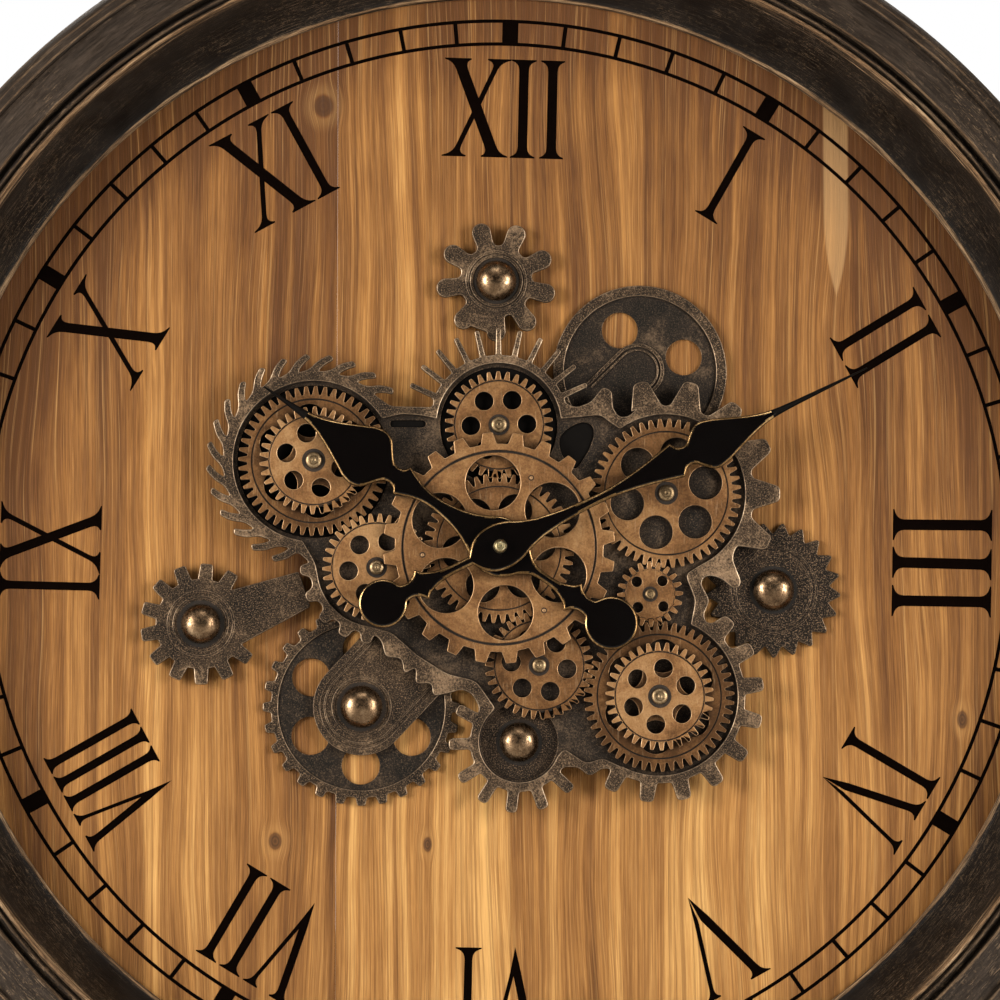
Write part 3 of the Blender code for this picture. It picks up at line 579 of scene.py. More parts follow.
def planks():
    """Stained softwood: long fibres, growth bands that part round the knots, and a tone for each plank,
    darkened by painted shade towards the top and by a painted shadow of the moulding near the rim.
    """
    finish = Finish("stained_planks", Specular_IOR_Level=0.16)
    x, _, z = finish.parts(finish.place)
    shift = finish.parts(finish.attribute("local"))[2] * 0.37
    bend, rings, halo = knots_in(finish, x, z)
    pale_x, pale_z, pale_wide, pale_tall = PALE_STREAK
    off = abs((x - pale_x * MM) / (pale_wide * MM))
    below = abs(((z - pale_z * MM) / (pale_tall * MM)).maths("MINIMUM", 0.0))
    pale = (below.maths("POWER", 2.4) + off).band(0.8, 1.0, 1.0, 0.0)

    def along(across, scale_x, scale_z, detail, roughness=0.6):
        """Noise that is drawn out along the planks."""
        return finish.noise(1.0, detail, roughness, place=finish.vector(across * scale_x, shift, z * scale_z))

    bent = x + bend
    grain = bent + (along(bent, 11.0, 3.0, 2.0) - 0.5) * 0.03
    broad = along(grain, 60.0, 2.2, 3.0)
    streaks = along(grain, 210.0, 3.0, 4.0)
    lines = along(grain, 700.0, 3.4, 3.0, 0.65).band(0.52, 0.61)
    threads = along(grain, 1500.0, 9.0, 3.0, 0.65).band(0.53, 0.62)
    lines = highest([lines, threads * 0.8])
    sheen = along(grain, 1150.0, 6.0, 4.0, 0.7).band(0.54, 0.66)
    fibres = along(grain, 2400.0, 45.0, 3.0)
    mottle = along(x, 90.0, 26.0, 4.0, 0.55)
    # Painted shadow of the moulding on the planks near the rim, stronger at the top, and painted shade that
    # darkens the planks towards the top.
    rim = finish.length(x, z).band(0.200, 0.243) * z.band(-0.15, 0.18, 0.035, 0.09)
    shade = z.band(-0.20, 0.22, -0.045, 0.060) + rim + 0.098
    value = streaks * 0.42 + broad * 0.38 + fibres * 0.24 + mottle * 0.12
    value = value + (finish.attribute("tone", "Fac") - shade)
    colour = value.ramp(
        (0.36, (0.075, 0.027, 0.006)),
        (0.46, (0.180, 0.076, 0.018)),
        (0.55, (0.320, 0.151, 0.041)),
        (0.68, (0.540, 0.305, 0.100)),
    )
    colour = finish.mix(sheen * 0.3, colour, (0.560, 0.325, 0.115))
    colour = finish.mix(lines * 0.45, colour, (0.115, 0.044, 0.010))
    colour = finish.mix(pale * 0.4, colour, (0.47, 0.285, 0.125))
    colour = finish.mix(halo * 0.13, colour, (0.52, 0.30, 0.11))
    colour = finish.mix(rings * 0.92, colour, (0.050, 0.021, 0.008))
    return finish.done(colour, fibres.band(0.3, 0.7, 0.66, 0.54), fibres - lines * 0.6, 0.0002)


def moulding_paint():
    """Black paint over brown, with scratches that run round the ring and gold where the edges are rubbed."""
    finish = Finish("distressed_black", Specular_IOR_Level=0.12)
    x, y, h = finish.parts(finish.attribute("local"))
    flat = finish.vector(x, y, 0.0)
    radius = finish.vectors("LENGTH", flat, output="Value")
    unit_x, unit_y, _ = finish.parts(finish.vectors("NORMALIZE", flat))
    ring = finish.vector(unit_x * 4.0, unit_y * 4.0, (radius + h) * 0.35)
    streaks = finish.noise(1.6, 5.0, 0.65, place=ring)
    scratches = finish.noise(5.5, 5.0, 0.75, place=ring).band(0.58, 0.67)
    hairs = finish.noise(9.0, 4.0, 0.75, place=ring).band(0.58, 0.66)
    gaps = finish.noise(9.0, 4.0, 0.7, place=ring).band(0.36, 0.60, 0.15, 1.0)
    fine = finish.noise(7.0, 4.0, 0.75, place=ring)
    chips = finish.noise(620.0, 4.0, 0.75).band(0.57, 0.66)
    patches = finish.noise(17.0, 4.0, 0.6).band(0.40, 0.62)
    cloud = finish.noise(60.0, 4.0, 0.6)
    black = cloud.ramp((0.3, (0.0030, 0.0020, 0.0014)), (0.7, (0.0095, 0.0068, 0.0050)))
    brown = fine.ramp((0.34, (0.015, 0.0100, 0.0065)), (0.66, (0.047, 0.034, 0.025)))
    gold = streaks.ramp((0.3, (0.10, 0.052, 0.022)), (0.5, (0.24, 0.140, 0.070)), (0.72, (0.50, 0.34, 0.20)))
    outer = radius.band(BAND_INNER - 2.0, BAND_INNER + 1.5) * streaks.band(0.35, 0.6, 0.45, 1.0)
    cover = highest([outer, radius.band(262.0, 270.0, 0.0, 0.25)])
    rubs = []
    for edge_radius, reach, amount in RUBBED_EDGES:
        off = abs(radius - edge_radius) - (streaks - 0.5) * (reach * 2.6)
        rubs.append(off.band(reach * 0.2, reach, amount, 0.0))
    marks = highest([scratches, hairs]) * (patches * 0.85)
    colour = finish.mix(marks, finish.mix(cover, black, brown), (0.19, 0.130, 0.080))
    colour = finish.mix(chips * (patches * 0.4), colour, (0.17, 0.11, 0.06))
    colour = finish.mix(highest(rubs) * gaps, colour, gold)
    rough = cloud.band(0.3, 0.7, 0.48, 0.64)
    return finish.done(colour, rough, streaks * 0.6 - scratches * 0.5, 0.00025)


def painted(name, colour, roughness, grain=400.0, shift=0.35, depth=0.00004, **fixed):
    """A moulded or painted surface with a fine texture and a slight change of tone."""
    finish = Finish(name, **fixed)
    fine = finish.noise(grain)
    cloud = finish.noise(30.0)
    darker = tuple(channel * (1.0 - shift) for channel in colour)
    shade = (fine * 0.5 + cloud * 0.5).ramp((0.35, darker), (0.65, colour))
    return finish.done(shade, cloud.band(0.3, 0.7, roughness + 0.06, roughness - 0.04), fine, depth)


def brushed_steel():
    finish = Finish("plated_steel", Metallic=1.0)
    lines = finish.noise(2600.0, 2.0, place=finish.vectors("MULTIPLY", finish.place, (1.0, 1.0, 0.04)))
    shade = finish.noise(90.0).ramp((0.3, (0.38, 0.37, 0.35)), (0.7, (0.62, 0.61, 0.58)))
    return finish.done(shade, lines.band(0.3, 0.7, 0.26, 0.42), lines, 0.00003)


# Knots in the planks: place across and up, half width and half height, in millimetres
KNOTS = (
    (-79.0, 201.0, 4.2, 5.0),
    (-99.5, -130.5, 3.0, 4.0),
    (-31.5, -132.0, 2.0, 3.4),
    (209.0, -76.0, 2.4, 4.2),
)
# A pale streak of sapwood from the rim: where it starts to narrow, its half width and its taper
PALE_STREAK = (153.4, 158.0, 6.2, 44.0)
# The radius where the moulding's outer band begins
BAND_INNER = 277.0
# Rubbed edges of the moulding: radius, reach and strength
RUBBED_EDGES = (
    (251.1, 1.1, 0.9),
    (268.6, 1.9, 0.8),
    (272.1, 0.9, 0.25),
    (276.7, 0.9, 0.4),
    (294.9, 0.7, 0.3),
    (299.0, 0.8, 0.2),
    (303.6, 1.2, 0.3),
)

# Metals: name, dark, middle and light colours, roughness, speckle, metallic, pits, and dirt with painted
# shade in recesses
BRONZE = ("dark_bronze", (0.005, 0.0029, 0.0014), (0.031, 0.0190, 0.0100), (0.30, 0.196, 0.115))
BRONZE_EDGE = ("rubbed_bronze", (0.07, 0.046, 0.028), (0.20, 0.140, 0.090), (0.46, 0.35, 0.235))
WEB = ("dark_web", (0.003, 0.002, 0.001), (0.016, 0.0103, 0.006), (0.140, 0.092, 0.054))
BRASS_EDGE = ("brass_edge", (0.20, 0.11, 0.05), (0.40, 0.24, 0.12), (0.62, 0.42, 0.24))
# The darker brass of side walls and of the walls by a groove is painted shade.
SHADED_BRASS_WALL = ("shaded_brass_wall", (0.04, 0.021, 0.010), (0.12, 0.065, 0.030), (0.27, 0.155, 0.078))
# Near-black metal for painted shade: bronze side walls, groove floors, and rings round post heads and rivets;
# also the seats under the domes.
GRIME_AND_SHADE = ("grime_and_shade", (0.006, 0.004, 0.002), (0.016, 0.010, 0.006), (0.045, 0.028, 0.016))
BUTTON = ("button_brass", (0.08, 0.052, 0.026), (0.21, 0.145, 0.078), (0.40, 0.29, 0.17))
HAND_EDGE = ("gilt_edge", (0.05, 0.028, 0.010), (0.19, 0.112, 0.046), (0.52, 0.35, 0.17))
NUT = ("polished_nut", (0.42, 0.34, 0.17), (0.76, 0.65, 0.38), (0.95, 0.86, 0.58))
GLOSS = {"shift": 0.3, "depth": 0.000004, "Specular_IOR_Level": 0.2}

FINISHES = {
    "brass": gear_brass(),
    "brass_edge": aged_metal(*BRASS_EDGE, 0.44, 0.2, 0.9),
    "shaded_brass_wall": aged_metal(*SHADED_BRASS_WALL, 0.55, 0.2, 0.8),
    "grime_and_shade": aged_metal(*GRIME_AND_SHADE, 0.6, 0.1, 0.5),
    "bronze": aged_metal(*BRONZE, 0.5, 0.7, 0.75, 0.00018, 0.6),
    "bronze_edge": aged_metal(*BRONZE_EDGE, 0.42, 0.4, 0.9),
    "web": aged_metal(*WEB, 0.55, 0.55, 0.7, 0.00014, 0.5),
    "dome": dome_brass(),
    "button": aged_metal(*BUTTON, 0.4, 0.2),
    "planks": planks(),
    "moulding": moulding_paint(),
    "print": painted("dial_print", (0.0026, 0.0014, 0.0010), 0.6, shift=0.3, Specular_IOR_Level=0.0),
    "hand": painted("gloss_black", (0.0016, 0.0010, 0.0008), 0.16, **GLOSS),
    "hand_edge": aged_metal(*HAND_EDGE, 0.24, 0.1),
    "nut": aged_metal(*NUT, 0.22, 0.1),
    "backing": painted("black_plate", (0.0036, 0.0028, 0.0022), 0.6, Specular_IOR_Level=0.05),
    "steel": brushed_steel(),
    "black_plastic": painted("black_moulding", (0.022, 0.022, 0.024), 0.42, 1800.0),
    "nylon": painted("white_nylon", (0.74, 0.72, 0.65), 0.42, shift=0.12),
    "wrap": painted("cell_wrap", (0.05, 0.16, 0.42), 0.28, shift=0.2),
    "green": painted("circuit_green", (0.02, 0.14, 0.05), 0.35),
}


# ---- frame and planks

# The moulding's front, from its lip out to its edge, and then its back, as (radius, height)
PROFILE = (
    (250.5, 0.3), (250.4, 3.0), (250.8, 3.9), (251.5, 4.2), (252.2, 4.2), (253.4, 5.6),
    (255.8, 9.2), (258.8, 14.6), (261.8, 21.0), (264.0, 27.0), (265.9, 33.0), (267.1, 37.0),
    (267.7, 39.0), (268.4, 39.9), (269.2, 39.9), (269.8, 39.1), (270.1, 37.0), (270.5, 35.9),
    (271.0, 36.5), (271.7, 37.2), (272.5, 37.2), (273.2, 36.4), (273.7, 34.4), (274.1, 32.8),
    (274.8, 32.2), (275.5, 32.8), (275.9, 35.0), (276.3, 36.2), (277.0, 36.6), (278.2, 36.1),
    (281.0, 34.6), (284.4, 32.2), (287.8, 30.0), (290.9, 28.3), (291.8, 27.4), (292.3, 25.4),
    (293.2, 24.5), (294.0, 25.2), (294.9, 25.7), (296.2, 25.0), (297.6, 23.2), (298.4, 22.8),
    (299.6, 22.2), (301.6, 19.2), (303.4, 15.0), (304.6, 10.8), (305.0, 8.2), (304.7, 5.6),
    (303.8, 3.4), (303.4, 1.0),
    (303.4, -35.0), (302.4, -36.0), (277.0, -36.0), (276.0, -35.0), (276.0, -9.3), (261.2, -9.3),
    (261.2, 0.3),
)


def box_mesh(xs, ys, hs):
    shape = bmesh.new()
    bmesh.ops.create_cube(shape, size=1.0)
    size = Matrix.Diagonal((xs[1] - xs[0], ys[1] - ys[0], hs[1] - hs[0], 1.0))
    middle = Matrix.Translation(((xs[0] + xs[1]) / 2, (ys[0] + ys[1]) / 2, (hs[0] + hs[1]) / 2))
    shape.transform(middle @ size)
    return mesh_from(shape, "box")


def less(mesh, cutter):
    """The mesh with the cutter taken out of it."""
    whole = put("whole", mesh)
    helper = put("cutter", cutter)
    step = whole.modifiers.new("cut", "BOOLEAN")
    step.operation = "DIFFERENCE"
    step.object = helper
    made = worked_out(whole)
    bpy.data.objects.remove(whole)
    bpy.data.objects.remove(helper)
    return made


def frame_moulding():
    """The turned frame, with a pocket in its back for the hanger plate."""
    (left, right), (bottom, top) = span_of("hanger_plate")
    pocket = box_mesh((left - 1.0, right + 1.0), (bottom - 0.4, top + 0.4), (-40.0, -30.0))
    ring = less(turned_mesh(PROFILE, 240, True), pocket)
    Piece("frame_moulding").add(ring, "moulding").done("frame_ring", crease=50.0)


# Seams between the planks, in millimetres from the middle, and how light each plank is
SEAMS = (-228.0, -191.0, -158.0, -129.0, -104.0, -72.5, -30.0, 5.5, 49.5, 87.5, 131.0, 168.0, 201.0, 233.0)
TONES = (-0.05, -0.04, -0.02, 0.02, -0.01, -0.045, 0.03, 0.05, -0.02, 0.02, 0.03, -0.01, -0.02, -0.04, -0.05)


def plank_outline(left, right, radius):
    upper = arc(CENTRE, radius, degrees(acos(right / radius)), degrees(acos(left / radius)), 14)
    lower = [(x, -y) for x, y in reversed(upper)]
    return upper + lower


def dial_planks():
    low, high = levels_of("dial_board")
    (left, right), _ = span_of("dial_board")
    radius = (right - left) / 2
    sides = [-radius, *SEAMS, radius]
    for index, tone in enumerate(TONES):
        outline = plank_outline(sides[index] + 0.02, sides[index + 1] - 0.02, radius)
        piece = Piece(f"dial_plank_{index + 1}", tone=tone, centre=(0.0, index * 7.3))
        piece.plate(outline, [], (low, high), "planks", bevel=0.04)
        piece.done(*(["dial_board"] if index == 0 else []))


# ---- dial print

PRINT_LEVELS = (0.02, 0.10)


def stroke(foot, head, width, serif, pointed=None):
    """A letter's stroke between its places across at foot and head. Across is clockwise and up is outwards.

    Both ends flare into a serif of that half width, unless the foot comes to a point at a place of its own.
    """

    def across(height):
        return foot + (head - foot) * (height - NUMERAL_FOOT) / (NUMERAL_HEAD - NUMERAL_FOOT)

    def side(at, way, hand):
        spread = serif - width / 2
        flare = ((5.2, 0.0), (3.3, 0.08), (2.0, 0.3), (1.2, 0.58), (0.55, 1.0))
        made = []
        for rise, part in flare:
            made.append((across(at + way * rise) + hand * (width / 2 + spread * part), at + way * rise))
        return [*flowing(made, 2), (across(at) + hand * serif, at)]

    def end(at, way):
        """One end, from its left side to its right side."""
        return side(at, way, -1.0) + side(at, way, 1.0)[::-1]

    if pointed is None:
        lower = end(NUMERAL_FOOT, 1.0)
    else:
        rise = NUMERAL_FOOT + 11.0
        middle = across(rise)
        lower = [(middle - width / 2, rise), (pointed, NUMERAL_FOOT - 0.6), (middle + width / 2, rise)]
    return lower + end(NUMERAL_HEAD, -1.0)[::-1]


def letter_i(foot, head, width, serif):
    return [stroke(foot, head, width, serif)]


def letter_x(thick, thin, width, serif):
    """Two crossed strokes, each given as its foot and head."""
    return [stroke(*thick, width, serif), stroke(*thin, 2.4, serif * 0.9)]


def letter_v(thick, thin, width, serif):
    """Two strokes that come to one point at the foot."""
    vertex = (thick[0] + thin[0]) / 2
    return [stroke(*thick, width, serif, vertex), stroke(*thin, width * 0.5, serif * 0.75, vertex)]


# Each hour's letters, as places across from the hour's own line. They lean and crowd a little, as painted.
NUMERALS = {
    1: letter_i(1.9, 0.5, 3.5, 5.8),
    2: letter_i(-6.7, -9.0, 3.8, 6.0) + letter_i(7.5, 5.2, 3.8, 5.8),
    3: letter_i(-16.1, -16.9, 4.8, 7.0) + letter_i(0.9, 0.9, 4.8, 7.0) + letter_i(18.2, 17.8, 4.8, 7.0),
    4: letter_i(-10.0, -10.7, 3.7, 5.7) + letter_v((11.7, 1.1), (10.3, 20.5), 3.6, 5.0),
    5: letter_v((1.2, -12.3), (-1.1, 11.9), 4.0, 5.0),
    6: letter_v((-10.4, -20.8), (-13.3, -2.9), 3.7, 5.0) + letter_i(8.9, 8.9, 3.5, 5.8),
    7: letter_v((-11.2, -21.1), (-13.5, -6.3), 3.5, 4.8)
    + letter_i(5.1, 4.4, 3.7, 5.2)
    + letter_i(17.3, 16.6, 3.7, 5.2),
    8: letter_v((-19.7, -28.3), (-22.1, -16.2), 3.2, 4.0)
    + letter_i(-6.8, -7.9, 3.6, 4.0)
    + letter_i(2.7, 1.6, 3.6, 4.0)
    + letter_i(11.9, 11.0, 3.6, 4.0),
    9: letter_i(-21.3, -21.3, 3.6, 5.6) + letter_x((9.7, -8.5), (-10.7, 11.3), 4.5, 5.4),
    10: letter_x((2.5, -18.4), (-19.9, 4.0), 4.8, 6.0),
    11: letter_x((-2.4, -21.5), (-22.7, -1.8), 5.0, 5.8) + letter_i(10.2, 10.2, 3.7, 5.6),
    12: letter_x((-5.9, -23.4), (-24.5, -4.3), 5.4, 6.0)
    + letter_i(6.7, 6.7, 4.3, 5.6)
    + letter_i(19.8, 19.8, 4.3, 5.4),
}


def dial_print():
    """The minute track and the numerals. Marks that cross stand a hair apart in height."""
    low, high = PRINT_LEVELS
    piece = Piece("dial_print")
    for radius in (TRACK_OUTER, TRACK_INNER):
        inner = circle(radius - TRACK_LINE / 2, count=240)
        piece.plate(circle(radius + TRACK_LINE / 2, count=240), [inner], (low, high), "print", 0.0)
    for minute in range(60):
        angle = 90.0 + PRINT_TURN - minute * 6.0
        half = 3.6 if minute % 5 == 0 else 0.9
        tick = [(TRACK_INNER, -half), (TRACK_OUTER, -half), (TRACK_OUTER, half), (TRACK_INNER, half)]
        piece.plate(turned_by(tick, angle), [], (low, high + 0.01), "print", 0.0)
    for hour, strokes in NUMERALS.items():
        for index, outline in enumerate(strokes):
            upright = turned_by(outline, PRINT_TURN - hour * 30.0)
            piece.plate(upright, [], (low, high + 0.01 * index), "print", 0.0)
    piece.done()


# ---- carrier and back plate

TOP = axis_of("top_arbor")
LOWER_LEFT = axis_of("lower_left_post")
LEFT = axis_of("left_post")
LOWER_CENTRE = axis_of("lower_centre_post")
LOWER_RIGHT = axis_of("lower_right_post")
SMALL_AT = axis_of("small_post")
RIGHT = axis_of("right_post")
BOTTOM = axis_of("bottom_dome")


def carrier_inner_edge():
    """The smooth inner edge of the carrier, anticlockwise from the foot of the right-hand ring."""
    edge = []
    edge += arc(RIGHT, 35.5, -64.0, 125.7, 60)
    edge += [(50.0, 56.6), (45.5, 60.0), (41.0, 59.6)]
    edge += arc(TOP, 27.9, 6.0, 174.4, 50)
    edge += [(-35.0, 59.6), (-44.0, 60.2)]
    edge += arc(LEFT, 36.0, 32.0, 262.0, 70)
    edge += [(-82.0, -6.5)]
    edge += arc(LOWER_LEFT, 26.4, 190.0, 262.0, 24)
    edge += [(-48.0, -37.6), (-36.6, -47.7), (-23.0, -56.2), (-10.2, -59.2), (-1.6, -71.4)]
    edge += arc(BOTTOM, 18.0, 135.0, 338.0, 50)
    edge += [(29.0, -89.3), (39.2, -96.1), (46.2, -93.4), (54.0, -97.2)]
    edge += arc(LOWER_RIGHT, 35.2, -117.0, 66.0, 60)
    edge += [(88.0, -23.0), (83.4, -11.4)]
    return edge


def blade_points(centre, tip_angle):
    """A blade swept clockwise at forty-five degrees, from its clockwise foot to its anticlockwise one."""
    return [
        polar(40.3, tip_angle + 6.2, centre),
        polar(43.7, tip_angle + 2.0, centre),
        polar(46.7, tip_angle - 2.9, centre),
        polar(48.5, tip_angle - 0.2, centre),
        polar(45.6, tip_angle + 5.7, centre),
        polar(41.3, tip_angle + 11.4, centre),
    ]


def carrier_outer_edge():
    """The outer edge, anticlockwise from the hooked link between the two right-hand rings."""
    edge = []
    # lower right ring, with broad blunt teeth
    angles = (242, 263, 284, 304.5, 325, 346, 367, 387.5)
    edge += toothed_arc(LOWER_RIGHT, angles, 38.7, 47.2, 7.6, 6.2, 2)
    edge += block_tooth(LOWER_RIGHT, 407, 38.7, 47.2, 7.6, 6.2)[:3]
    # the hooked link up to the right-hand ring
    edge += [(95.5, -33.3), (92.8, -32.9), (91.7, -29.7), (94.4, -23.0), (90.6, -15.9), (91.5, -13.0)]
    edge += [(94.6, -11.9), (99.5, -13.2), (104.9, -17.7), (107.6, -17.2), (108.5, -14.5), (104.9, -5.1)]
    edge += [(105.3, -1.6)]
    # right-hand ring, with tall tapered teeth
    edge += toothed_arc(RIGHT, (-26, 0, 25.5, 51, 77, 103), 39.6, 51.3, 14.2, 6.4)
    # the forked link over to the top ring
    edge += [(61.5, 62.5), (58.0, 59.4), (54.0, 59.2), (51.2, 63.0), (50.8, 71.0), (46.6, 72.8), (41.5, 66.0)]
    edge += [(35.0, 63.4), (30.5, 65.0)]
    # top ring, with thin straight spikes
    edge += toothed_arc(TOP, [25.0 + 13.06 * index for index in range(11)], 31.6, 43.6, 2.7, 2.2, 2)
    edge += [(-29.7, 63.3), (-48.5, 63.7)]
    # left-hand ring, with swept blades
    for index in range(17):
        edge += blade_points(LEFT, 43.1 + 12.86 * index)
    # lower left ring, with short square teeth
    edge += toothed_arc(LOWER_LEFT, (182, 203.5, 224, 243.5, 262), 29.8, 34.2, 6.2, 4.6)
    # saw-toothed band down to the bottom ring
    edge += [(-52.4, -41.5), (-50.6, -48.6), (-43.4, -49.2), (-42.3, -56.2), (-37.0, -53.2), (-37.2, -60.6)]
    edge += [(-30.0, -60.2), (-29.4, -66.0), (-22.8, -64.8), (-16.4, -63.0), (-12.0, -65.0), (-9.0, -70.4)]
    # bottom ring, with long square teeth
    edge += toothed_arc(BOTTOM, (152, 182, 212, 237, 263, 290, 317), 22.2, 31.6, 5.2, 5.2, 1)
    edge += [(29.2, -97.6), (35.2, -97.6), (40.6, -101.8), (46.0, -98.2)]
    return edge


def carrier():
    piece = Piece("carrier_cast")
    inner = rounded(carrier_inner_edge(), 3.0)
    piece.plate(rounded(carrier_outer_edge(), 2.2), [inner], levels_of("carrier_plate"), "bronze", 0.42)
    piece.done("carrier_plate")


def back_plate():
    """A black sheet, and the dark web over it with its openings."""
    low, high = levels_of("back_plate")
    backing = offset_outline(carrier_inner_edge(), 1.6)
    openings = [circle(4.7, count=48), circle(17.2, BOTTOM, 60)]
    through = [(27.0, 50.1), (31.8, 55.0), (38.2, 57.4), (42.5, 55.5), (42.9, 50.7)]
    through += [(40.4, 44.2), (36.6, 38.3), (34.5, 35.6), (29.4, 40.0), (27.4, 45.0)]
    slot = [(-48.6, 54.4), (-33.4, 54.4), (-32.4, 56.0), (-33.4, 57.6), (-48.6, 57.6)]
    windows = [circle(26.3, TOP, 80), circle(34.2, LEFT, 100), rounded(through, 4.0), rounded(slot, 1.4)]
    piece = Piece("back_plate_layers")
    piece.plate(backing, [*openings, circle(2.8, TOP, 40)], (low, high - 1.1), "backing", 0.1)
    piece.plate(backing, [*openings, *windows], (high - 1.1, high), "web", 0.25)
    piece.done("back_plate")


def top_arbor_head():
    """The button that caps the top gear's arbor."""
    _, high = levels_of("top_arbor")
    piece = Piece("top_arbor_head", "top_shaft", TOP)
    piece.turn(button(3.6, high + 0.12), "button", TOP, 40)
    # A dark ring round the foot of the button: painted shadow.
    piece.turn([(4.7, high - 1.55), (3.3, high - 1.5)], "grime_and_shade", TOP, 40)
    piece.done()


# ---- gears

# Ring holes and groove of each size of gear: count, ring radius, hole radius and groove radius
GEAR_FACES = {LARGE: (6, 18.2, 7.5, 27.7), MIDDLE: (6, 12.6, 4.2, 19.9), SMALL: (4, 8.1, 2.35, 11.2)}


def train_gear(node, body, teeth, at, phase, hole_phase, tone):
    """A toothed rim and a face plate with a turned groove between them."""
    low, high = levels_of(node)
    count, ring_radius, hole_radius, groove = GEAR_FACES[teeth]
    bore = circle(4.6 if at == CENTRE else 2.6, at)
    holes = [bore, *hole_ring(count, ring_radius, hole_radius, hole_phase, at)]
    piece = Piece(f"{node}_cut", body, at, tone)
    rim_hole = circle(groove + GROOVE_HALF_WIDTH, at)
    piece.plate(spur_outline(teeth, phase, at), [rim_hole], (low, high), "brass", GEAR_BEVEL, groove)
    piece.plate(circle(groove - GROOVE_HALF_WIDTH, at), holes, (low, high), "brass", 0.24, groove)
    # A dark floor under the groove: painted shade in the groove.
    floor_hole = circle(groove - 1.0, at)
    piece.plate(circle(groove + 1.0, at), [floor_hole], (low + 0.2, high - 0.55), "grime_and_shade", 0.0)
    piece.done(node)


def centre_front_gear():
    """A rim of blunt teeth, a face plate with six large holes, and three rivets."""
    low, high = levels_of("centre_front_gear")
    groove = 43.2
    piece = Piece("centre_front_gear_cut", "centre_gears", CENTRE, -0.02)
    teeth = toothed_arc(CENTRE, [5.8 + 15.0 * index for index in range(24)], 46.6, 51.75, 7.1, 4.5, 2)
    piece.plate(rounded(teeth, 0.6), [circle(groove + 0.4)], (low, high), "brass", 0.26, groove)
    holes = [circle(4.6), *hole_ring(6, 29.2, 12.3, 35.5)]
    piece.plate(circle(groove - 0.4), holes, (low, high - 0.15), "brass", 0.34, groove)
    # A dark floor under the groove: painted shade in the groove.
    piece.plate(circle(groove + 1.0), [circle(groove - 1.0)], (low + 0.2, high - 0.8), "grime_and_shade", 0.0)
    for index in range(3):
        rivet = polar(34.4, 65.5 + 120.0 * index)
        piece.turn([(0.0, high + 0.22), (0.55, high + 0.18), (0.8, high)], "brass_edge", rivet, 16)
        # A dark ring round the rivet: painted shadow.
        piece.turn([(0.95, high + 0.02), (1.25, high + 0.02)], "grime_and_shade", rivet, 16)
    piece.done("centre_front_gear")


# Node, body, teeth, arbor, angle of the ring holes, tone, and the gear it meshes with or else its own angle.
# The tones differ from gear to gear, and the left and lower right rear gears are set darker as painted shade
# from the front gears over them.
TRAIN = (
    ("centre_rear_gear", "centre_gears", LARGE, CENTRE, 66.5, -0.04, 153.2),
    ("top_gear", "top_shaft", MIDDLE, TOP, 2.0, -0.05, "centre_rear_gear"),
    ("lower_left_gear", "lower_left", MIDDLE, LOWER_LEFT, 67.0, 0.03, "centre_rear_gear"),
    ("left_rear_gear", "left_pair", LARGE, LEFT, 36.0, -0.12, "lower_left_gear"),
    ("left_front_gear", "left_pair", MIDDLE, LEFT, 45.0, 0.03, 57.2),
    ("lower_centre_gear", "lower_centre", MIDDLE, LOWER_CENTRE, 53.0, -0.08, "centre_rear_gear"),
    ("lower_right_rear_gear", "lower_right_pair", LARGE, LOWER_RIGHT, 25.0, -0.15, "lower_centre_gear"),
    ("lower_right_front_gear", "lower_right_pair", MIDDLE, LOWER_RIGHT, 22.0, 0.01, 7.4),
    ("small_gear", "small", SMALL, SMALL_AT, 47.0, -0.03, "lower_right_rear_gear"),
    ("right_gear", "right", LARGE, RIGHT, 15.0, -0.05, "small_gear"),
)


def gears():
    """The whole train, with the gaps of each gear facing the teeth of the gear it meshes with."""
    placed = {}
    for node, body, teeth, at, hole_phase, tone, start in TRAIN:
        phase = mesh_phase(*placed[start], at, teeth) if start in placed else start
        placed[node] = (at, teeth, phase)
        train_gear(node, body, teeth, at, phase, hole_phase, tone)
        if at == CENTRE:
            centre_front_gear()


def button(radius, high):
    """The profile of a rounded button with a turned ring, from its middle to the foot of its rim."""
    turns = [radians(angle) for angle in range(45, 91, 15)]
    crown = [(radius * sin(turn), high - 1.1 + 1.1 * cos(turn)) for turn in turns]
    dimple = [(0.0, high - 0.3), (radius * 0.14, high - 0.26), (radius * 0.24, high - 0.06)]
    ring = [(radius * 0.47, high - 0.16), (radius * 0.52, high - 0.42), (radius * 0.58, high - 0.24)]
    return [*dimple, *ring, *crown, (radius, high - 1.55)]


# The fixed posts and the radii of their heads
POSTS = {
    "left_post": 3.6,
    "lower_left_post": 3.2,
    "lower_centre_post": 3.2,
    "lower_right_post": 3.6,
    "small_post": 2.4,
    "right_post": 3.6,
}


def posts():
    """Riveted posts with button heads, each in a dark ring of painted shadow."""
    for node, radius in POSTS.items():
        at = axis_of(node)
        low, high = levels_of(node)
        under = high - 1.6
        piece = Piece(f"{node}_turned", FIXED, at)
        piece.turn([*button(radius, high), (2.2, under), (2.2, low), (0.0, low)], "button", at, 40)
        piece.turn([(radius * 1.45, under - 0.24), (radius * 1.02, under - 0.2)], "grime_and_shade", at, 40)
        piece.done(node)


# ---- dark wheels on the board


def dome(node):
    """A polished dome, from its node's box."""
    at = axis_of(node)
    low, high = levels_of(node)
    (left, right), _ = span_of(node)
    radius = (right - left) / 2
    rim = low + 0.5
    rise = high - rim
    crown = [(radius * cos(radians(angle)), rim + rise * sin(radians(angle))) for angle in range(84, -1, -7)]
    piece = Piece(f"{node}_polished", FIXED, at)
    piece.turn([(0.0, high), *crown, (radius, low), (0.0, low)], "dome", at, 64)
    piece.done(node)


